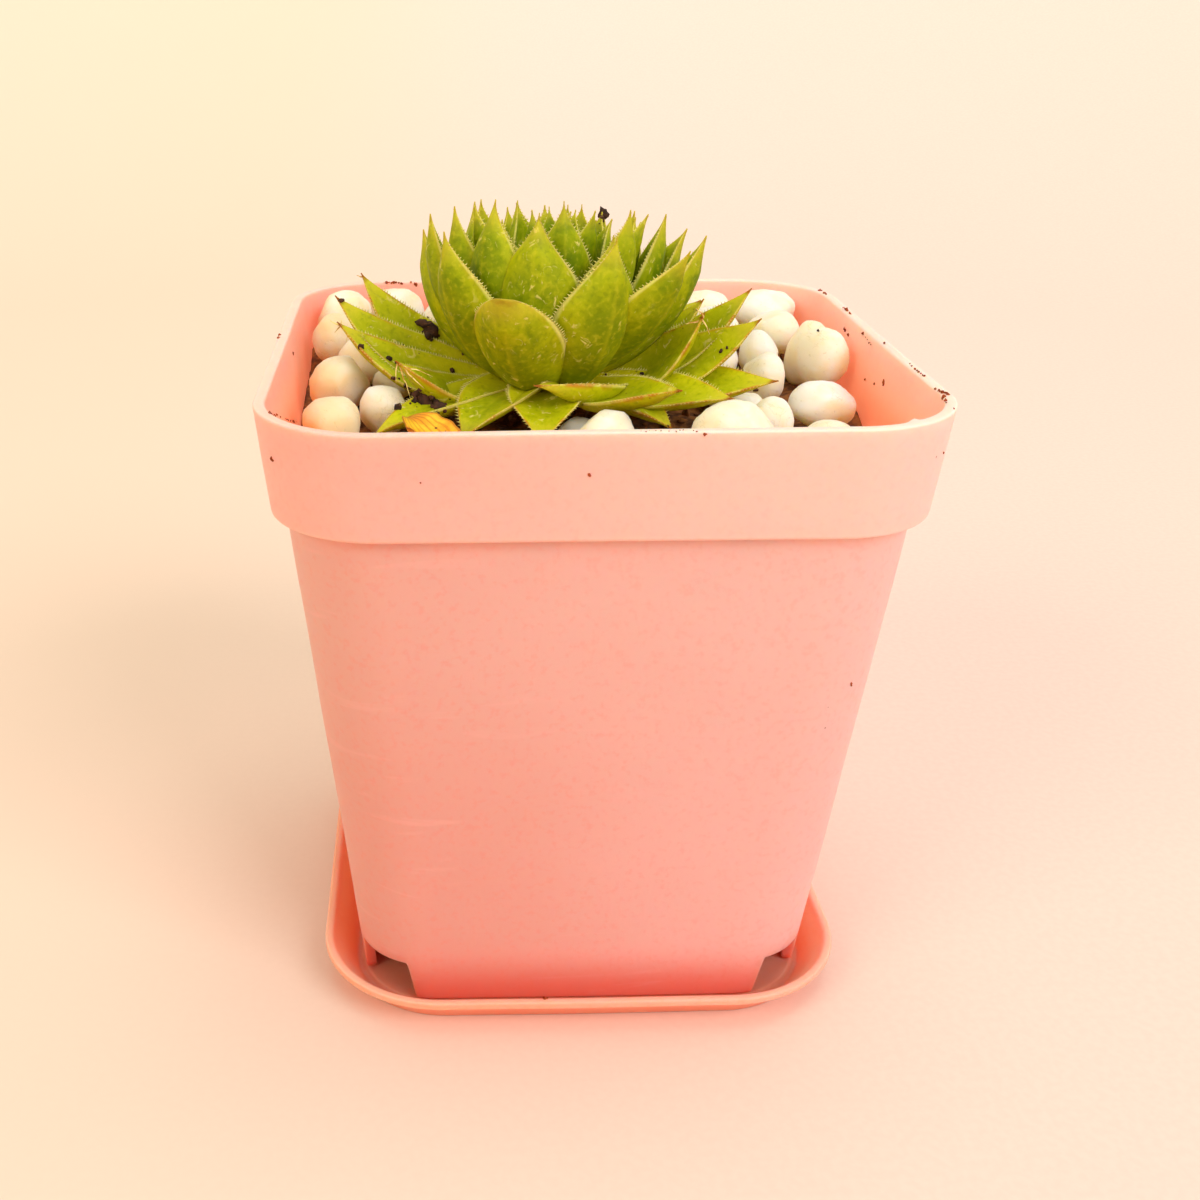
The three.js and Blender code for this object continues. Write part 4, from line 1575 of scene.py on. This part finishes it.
@dataclass
class Stones:
    """The tumbled stones round the plant, each a smoothed form of its CAD solid."""

    prefix: str = "stone_"
    fineness: int = 4
    softness: float = 0.012
    flats: int = 9
    dents: tuple[Wave, ...] = ((0.045, 3.2, 31), (0.018, 1.1, 32))
    finish: Pebble = Pebble("stone_skin")

    def facets(self, node: Object) -> Array:
        """A CAD node's triangles.

        Args:
            node: The CAD node.

        Returns:
            Corners in millimetres, with the axes triangle, corner and x, y, z.
        """
        mesh = node.data
        mesh.calc_loop_triangles()
        places = np.zeros(3 * len(mesh.vertices), np.float32)
        mesh.vertices.foreach_get("co", places)
        corners = np.zeros(3 * len(mesh.loop_triangles), np.int32)
        mesh.loop_triangles.foreach_get("vertices", corners)
        return places.reshape(-1, 3)[corners].reshape(-1, 3, 3) / MM

    @staticmethod
    def reach(facets: Array, directions: Array) -> Array:
        """How far the solid reaches from the origin in each direction.

        A ray meets a facet's plane at n·a / n·d, and the point counts where its three shares of the
        facet's corners are not negative. The farthest such point gives the reach.

        Args:
            facets: The solid's triangles.
            directions: Directions of length 1.

        Returns:
            A distance for each direction.
        """
        a, b, c = facets[:, 0], facets[:, 1], facets[:, 2]
        normal = np.cross(b - a, c - a)
        facing = directions @ normal.T
        distance = np.einsum("ij,ij->i", normal, a) / np.where(np.abs(facing) < 1e-9, 1e-9, facing)
        point = distance[..., None] * directions[:, None]
        area = np.einsum("ij,ij->i", normal, normal)
        shares = [
            np.einsum("rfk,fk->rf", np.cross(q - p, point - p), normal) / area
            for p, q in ((a, b), (b, c), (c, a))
        ]
        inside = (np.min(shares, axis=0) > -1e-4) & (distance > 0)
        return np.where(inside, distance, 0).max(1)

    def shell(self, node: Object, seed: int) -> Shell:
        """One stone.

        The CAD solid's reach from its middle is cut back to a few seeded planes, then averaged over
        nearby directions with the weight exp(-d²/softness), where d is their distance on the unit
        ball. Noise adds dents and pits, and the form is drawn out to the solid's own box.

        Args:
            node: The stone's CAD node.
            seed: A number that picks its form.

        Returns:
            The stone's surface.
        """
        facets = self.facets(node)
        centre = (facets.min((0, 1)) + facets.max((0, 1))) / 2
        directions, triangles = ball(self.fineness)
        radius = self.reach(facets - centre, directions)
        flats = chances(self.flats, seed + np.array([0.15, 0.35, 0.55])) - 0.5
        flats /= np.linalg.norm(flats, axis=1)[:, None]
        depth = (0.8 + 0.13 * chances(self.flats, seed + 0.75)) * self.reach(facets - centre, flats)
        radius = np.minimum(radius, (depth / np.maximum(directions @ flats.T, 0.2)).min(1))
        weight = np.exp(-(2 - 2 * directions @ directions.T) / self.softness)
        radius = weight @ radius / weight.sum(1)
        radius = radius * (1 + ripples(directions * radius[:, None] + 20 * seed, *self.dents))
        points = radius[:, None] * directions
        low, high = points.min(0), points.max(0)
        size = facets.max((0, 1)) - facets.min((0, 1))
        points = centre + (points - (low + high) / 2) * size / (high - low)
        return Shell(points, triangles, values={"key": np.full(len(points), chance(seed, 9))})

    def make(self, nodes: dict[str, Object]) -> Shell:
        """Builds the stones as one piece.

        Args:
            nodes: The CAD nodes by name.

        Returns:
            The stones' surface.
        """
        names = sorted(name for name in nodes if name.startswith(self.prefix))
        shell = joined([self.shell(nodes[name], seed) for seed, name in enumerate(names)])
        build("tumbled_stones", shell, self.finish.material(), names)
        return shell


# Soil crumbs that lie on the leaves and stones: x and y in the photograph's frame, and radius.
GRIT = (
    (424, 325, 0.9), (431, 331, 0.8), (428, 336, 0.7), (434, 337, 0.5),
    (419, 396, 0.8), (427, 403, 0.8), (436, 404, 0.7), (440, 408, 0.5), (415, 401, 0.5),
    (601, 211, 0.5), (604, 214, 0.6), (603, 219, 0.5), (341, 301, 0.35), (361, 347, 0.35),
    (389, 359, 0.4), (396, 363, 0.3), (463, 354, 0.3), (452, 371, 0.3), (727, 348, 0.25),
    (721, 352, 0.25), (756, 389, 0.35), (397, 409, 0.4), (399, 379, 0.25), (405, 385, 0.25),
    (394, 378, 0.25), (409, 388, 0.25), (606, 375, 0.25), (642, 374, 0.25), (818, 331, 0.2),
)

# Rusty flakes on the pot, scattered along lines: the line's two ends, a count and a radius.
FLAKES = (
    (819, 290, 827, 295, 9, 0.14), (842, 307, 852, 315, 12, 0.17), (882, 341, 885, 344, 4, 0.13),
    (909, 364, 925, 377, 22, 0.1), (935, 389, 948, 395, 16, 0.13), (944, 397, 947, 403, 5, 0.17),
    (953, 406, 954, 409, 2, 0.12), (844, 327, 849, 336, 8, 0.13), (861, 331, 872, 346, 6, 0.1),
    (884, 378, 884, 386, 6, 0.14), (865, 380, 878, 385, 3, 0.11), (704, 432, 705, 435, 3, 0.16),
    (943, 452, 944, 453, 1, 0.12), (851, 682, 851, 684, 2, 0.15), (384, 283, 404, 283, 14, 0.12),
    (411, 283, 417, 285, 6, 0.15), (401, 293, 403, 294, 2, 0.1), (278, 338, 281, 334, 4, 0.12),
    (292, 350, 293, 355, 4, 0.12), (262, 410, 300, 424, 22, 0.1), (300, 425, 352, 429, 30, 0.1),
    (352, 430, 482, 431, 24, 0.07), (271, 457, 273, 461, 4, 0.12), (589, 474, 590, 476, 2, 0.1),
    (543, 998, 547, 999, 3, 0.14), (420, 482, 421, 483, 1, 0.1), (640, 431, 700, 431, 12, 0.07),
)


@dataclass(frozen=True)
class Lens:
    """The camera, by its place in millimetres, its three directions and its focal length in pixels."""

    place: tuple = (-19.205, -186.144, 129.567)
    right: tuple = (0.99960076, -0.02824929, 0.00055399)
    up: tuple = (0.01127938, 0.41694414, 0.90886212)
    ahead: tuple = (0.02590569, 0.90849302, -0.41709631)
    focal: float = 1446.698
    centre: tuple = (476.075, 620.298)
    image: float = 1200.0
    sensor: float = 36.0
    clip: tuple = (0.01, 20.0)

    def direction(self, x: float, y: float) -> Vector:
        """The direction of the ray through a point of the image."""
        across, down = (x - self.centre[0]) / self.focal, (y - self.centre[1]) / self.focal
        return (Vector(self.ahead) + across * Vector(self.right) - down * Vector(self.up)).normalized()

    def make(self) -> None:
        """Builds the camera and makes it the scene's."""
        data = bpy.data.cameras.new("view")
        data.sensor_width = self.sensor
        data.lens = self.focal * self.sensor / self.image
        data.shift_x = (self.image / 2 - self.centre[0]) / self.image
        data.shift_y = (self.centre[1] - self.image / 2) / self.image
        data.clip_start, data.clip_end = self.clip
        camera = placed("view", data)
        turn = Matrix((self.right, self.up, tuple(-a for a in self.ahead))).transposed()
        camera.matrix_world = Matrix.Translation(Vector(self.place) * MM) @ turn.to_4x4()
        bpy.context.scene.camera = camera


@dataclass
class Grit:
    """Small bits that lie where rays of the camera meet the object."""

    name: str
    lens: Lens
    finish: Earth

    def make(self, spots: Iterable[tuple], *under: Shell) -> None:
        """Builds a bit at each x, y and radius, on the surface of what lies under it.

        Args:
            spots: Rows of x, y and radius.
            under: What they lie on.
        """
        whole = joined([replace(shell, values={}) for shell in under])
        tree = BVHTree.FromPolygons(whole.points.tolist(), whole.corners().tolist())
        places, sizes = [], []
        for x, y, size in spots:
            spot, normal, _, _ = tree.ray_cast(Vector(self.lens.place), self.lens.direction(x, y))
            if spot is None:
                LOG.info("%s: no surface at %s, %s", self.name, x, y)
                continue
            places.append(spot + 0.2 * size * normal)
            sizes.append(size)
        shell = lumps(np.array(places), np.array(sizes), 3)
        build(self.name, shell, self.finish.material())


def clumps(
    large: float = 0.5, around: int = 5, nearest: float = 4.0, spread: float = 5.0
) -> list[tuple]:
    """The listed crumbs, and a few small ones round each large one.

    Args:
        large: The least radius in millimetres of a crumb that others lie round.
        around: How many lie round it.
        nearest: How near they come to it, in pixels.
        spread: How much farther they lie, in pixels for each millimetre of its radius.

    Returns:
        Rows of x, y and radius.
    """
    spots = list(GRIT)
    for number, (x, y, size) in enumerate(GRIT):
        for k in range(around if size >= large else 0):
            turn = FULL_TURN * chance(number, k)
            away = nearest + spread * size * chance(number, k + 5)
            small = size * (0.2 + 0.3 * chance(number, k + 10))
            spots.append((x + away * math.cos(turn), y + away * math.sin(turn), small))
    return spots


def flakes(scatter: float = 1.6) -> list[tuple]:
    """The flakes, at chance shares of the listed lines.

    Args:
        scatter: The height of the band round a line that they lie in, in pixels.

    Returns:
        Rows of x, y and radius.
    """
    spots = []
    for number, (x0, y0, x1, y1, count, size) in enumerate(FLAKES):
        for k in range(count):
            share = chance(number, k)
            off = scatter * (chance(number, k + 0.3) - 0.5)
            radius = size * (0.6 + 0.8 * chance(number, k + 0.6))
            spots.append((x0 + (x1 - x0) * share, y0 + (y1 - y0) * share + off, radius))
    return spots


# Stage


@dataclass
class Stage:
    """A pale round sweep that the object stands in the middle of, and soft far lights."""

    floor: float = 450.0
    radius: float = 800.0
    steepest: float = 75.0
    sides: int = 96
    aim: tuple = (0, 0, 50)
    warmth: tuple = (1.0, 0.955, 0.88, 1.0)
    surround: float = 0.66
    finish: Paper = Paper("sweep_paper")

    def sweep(self) -> None:
        """Builds the floor, whose edge turns up all round in an arc."""
        angle = np.radians(np.linspace(0, self.steepest, 33))
        out = np.concatenate([[1, 300], self.floor + self.radius * np.sin(angle)])
        up = np.concatenate([[0, 0], self.radius * (1 - np.cos(angle))])
        rings = turned(np.column_stack([out, up]), self.sides)
        index, quads = strip(*rings.shape[:2])
        faces = quads[:, [0, 3, 2, 1]].tolist() + [index[0].tolist()]
        floor = placed("sweep", smooth_mesh("sweep", rings.reshape(-1, 3), faces, self.finish.material()))

    def light(self, name: str, place: tuple, size: float, power: float, colour: tuple) -> None:
        """Builds one square soft light that faces the pot.

        Args:
            name: The light's name.
            place: Its place in millimetres.
            size: Its width in millimetres.
            power: Its power in watts.
            colour: Its red, green and blue.
        """
        data = bpy.data.lights.new(name, "AREA")
        data.size = size * MM
        data.energy = power
        data.color = colour
        lamp = placed(name, data)
        lamp.location = Vector(place) * MM
        lamp.rotation_euler = (Vector(self.aim) - Vector(place)).to_track_quat("-Z", "Y").to_euler()

    def make(self) -> None:
        """Builds the sweep, the lights and the warm surround."""
        self.sweep()
        self.light("key", (1900, -2250, 1850), 1900, 86.0, (1.0, 0.95, 0.97))
        self.light("fill", (-1900, -1700, 1500), 1300, 30.0, (1.0, 0.95, 0.74))
        self.light("top", (300, 300, 2600), 1500, 17.0, (1.0, 0.96, 0.88))
        world = bpy.data.worlds.new("surround")
        world.use_nodes = True
        inputs = world.node_tree.nodes["Background"].inputs
        inputs["Color"].default_value = self.warmth
        inputs["Strength"].default_value = self.surround
        bpy.context.scene.world = world
        bpy.context.scene.view_settings.view_transform = "Standard"


def main() -> None:
    """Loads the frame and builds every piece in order."""
    logging.basicConfig(level=logging.INFO, format="%(message)s")
    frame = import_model()
    lens = Lens()
    lens.make()
    pot = Pot()
    saucer = Saucer().make()
    moulding = pot.make()
    Soil().make(pot)
    plant = Rosette().make()
    FallenLeaf().make()
    stones = Stones().make(frame["nodes"])
    DryTips().make()
    Grit("leaf_grit", lens, Earth("grit_skin", "2a170b", "55301a")).make(clumps(), plant, stones)
    Grit("rim_flakes", lens, Earth("flake_skin", "7c2c0c", "b04e1a")).make(flakes(), moulding, saucer)
    Stage().make()
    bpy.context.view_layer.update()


if __name__ == "__main__":
    main()
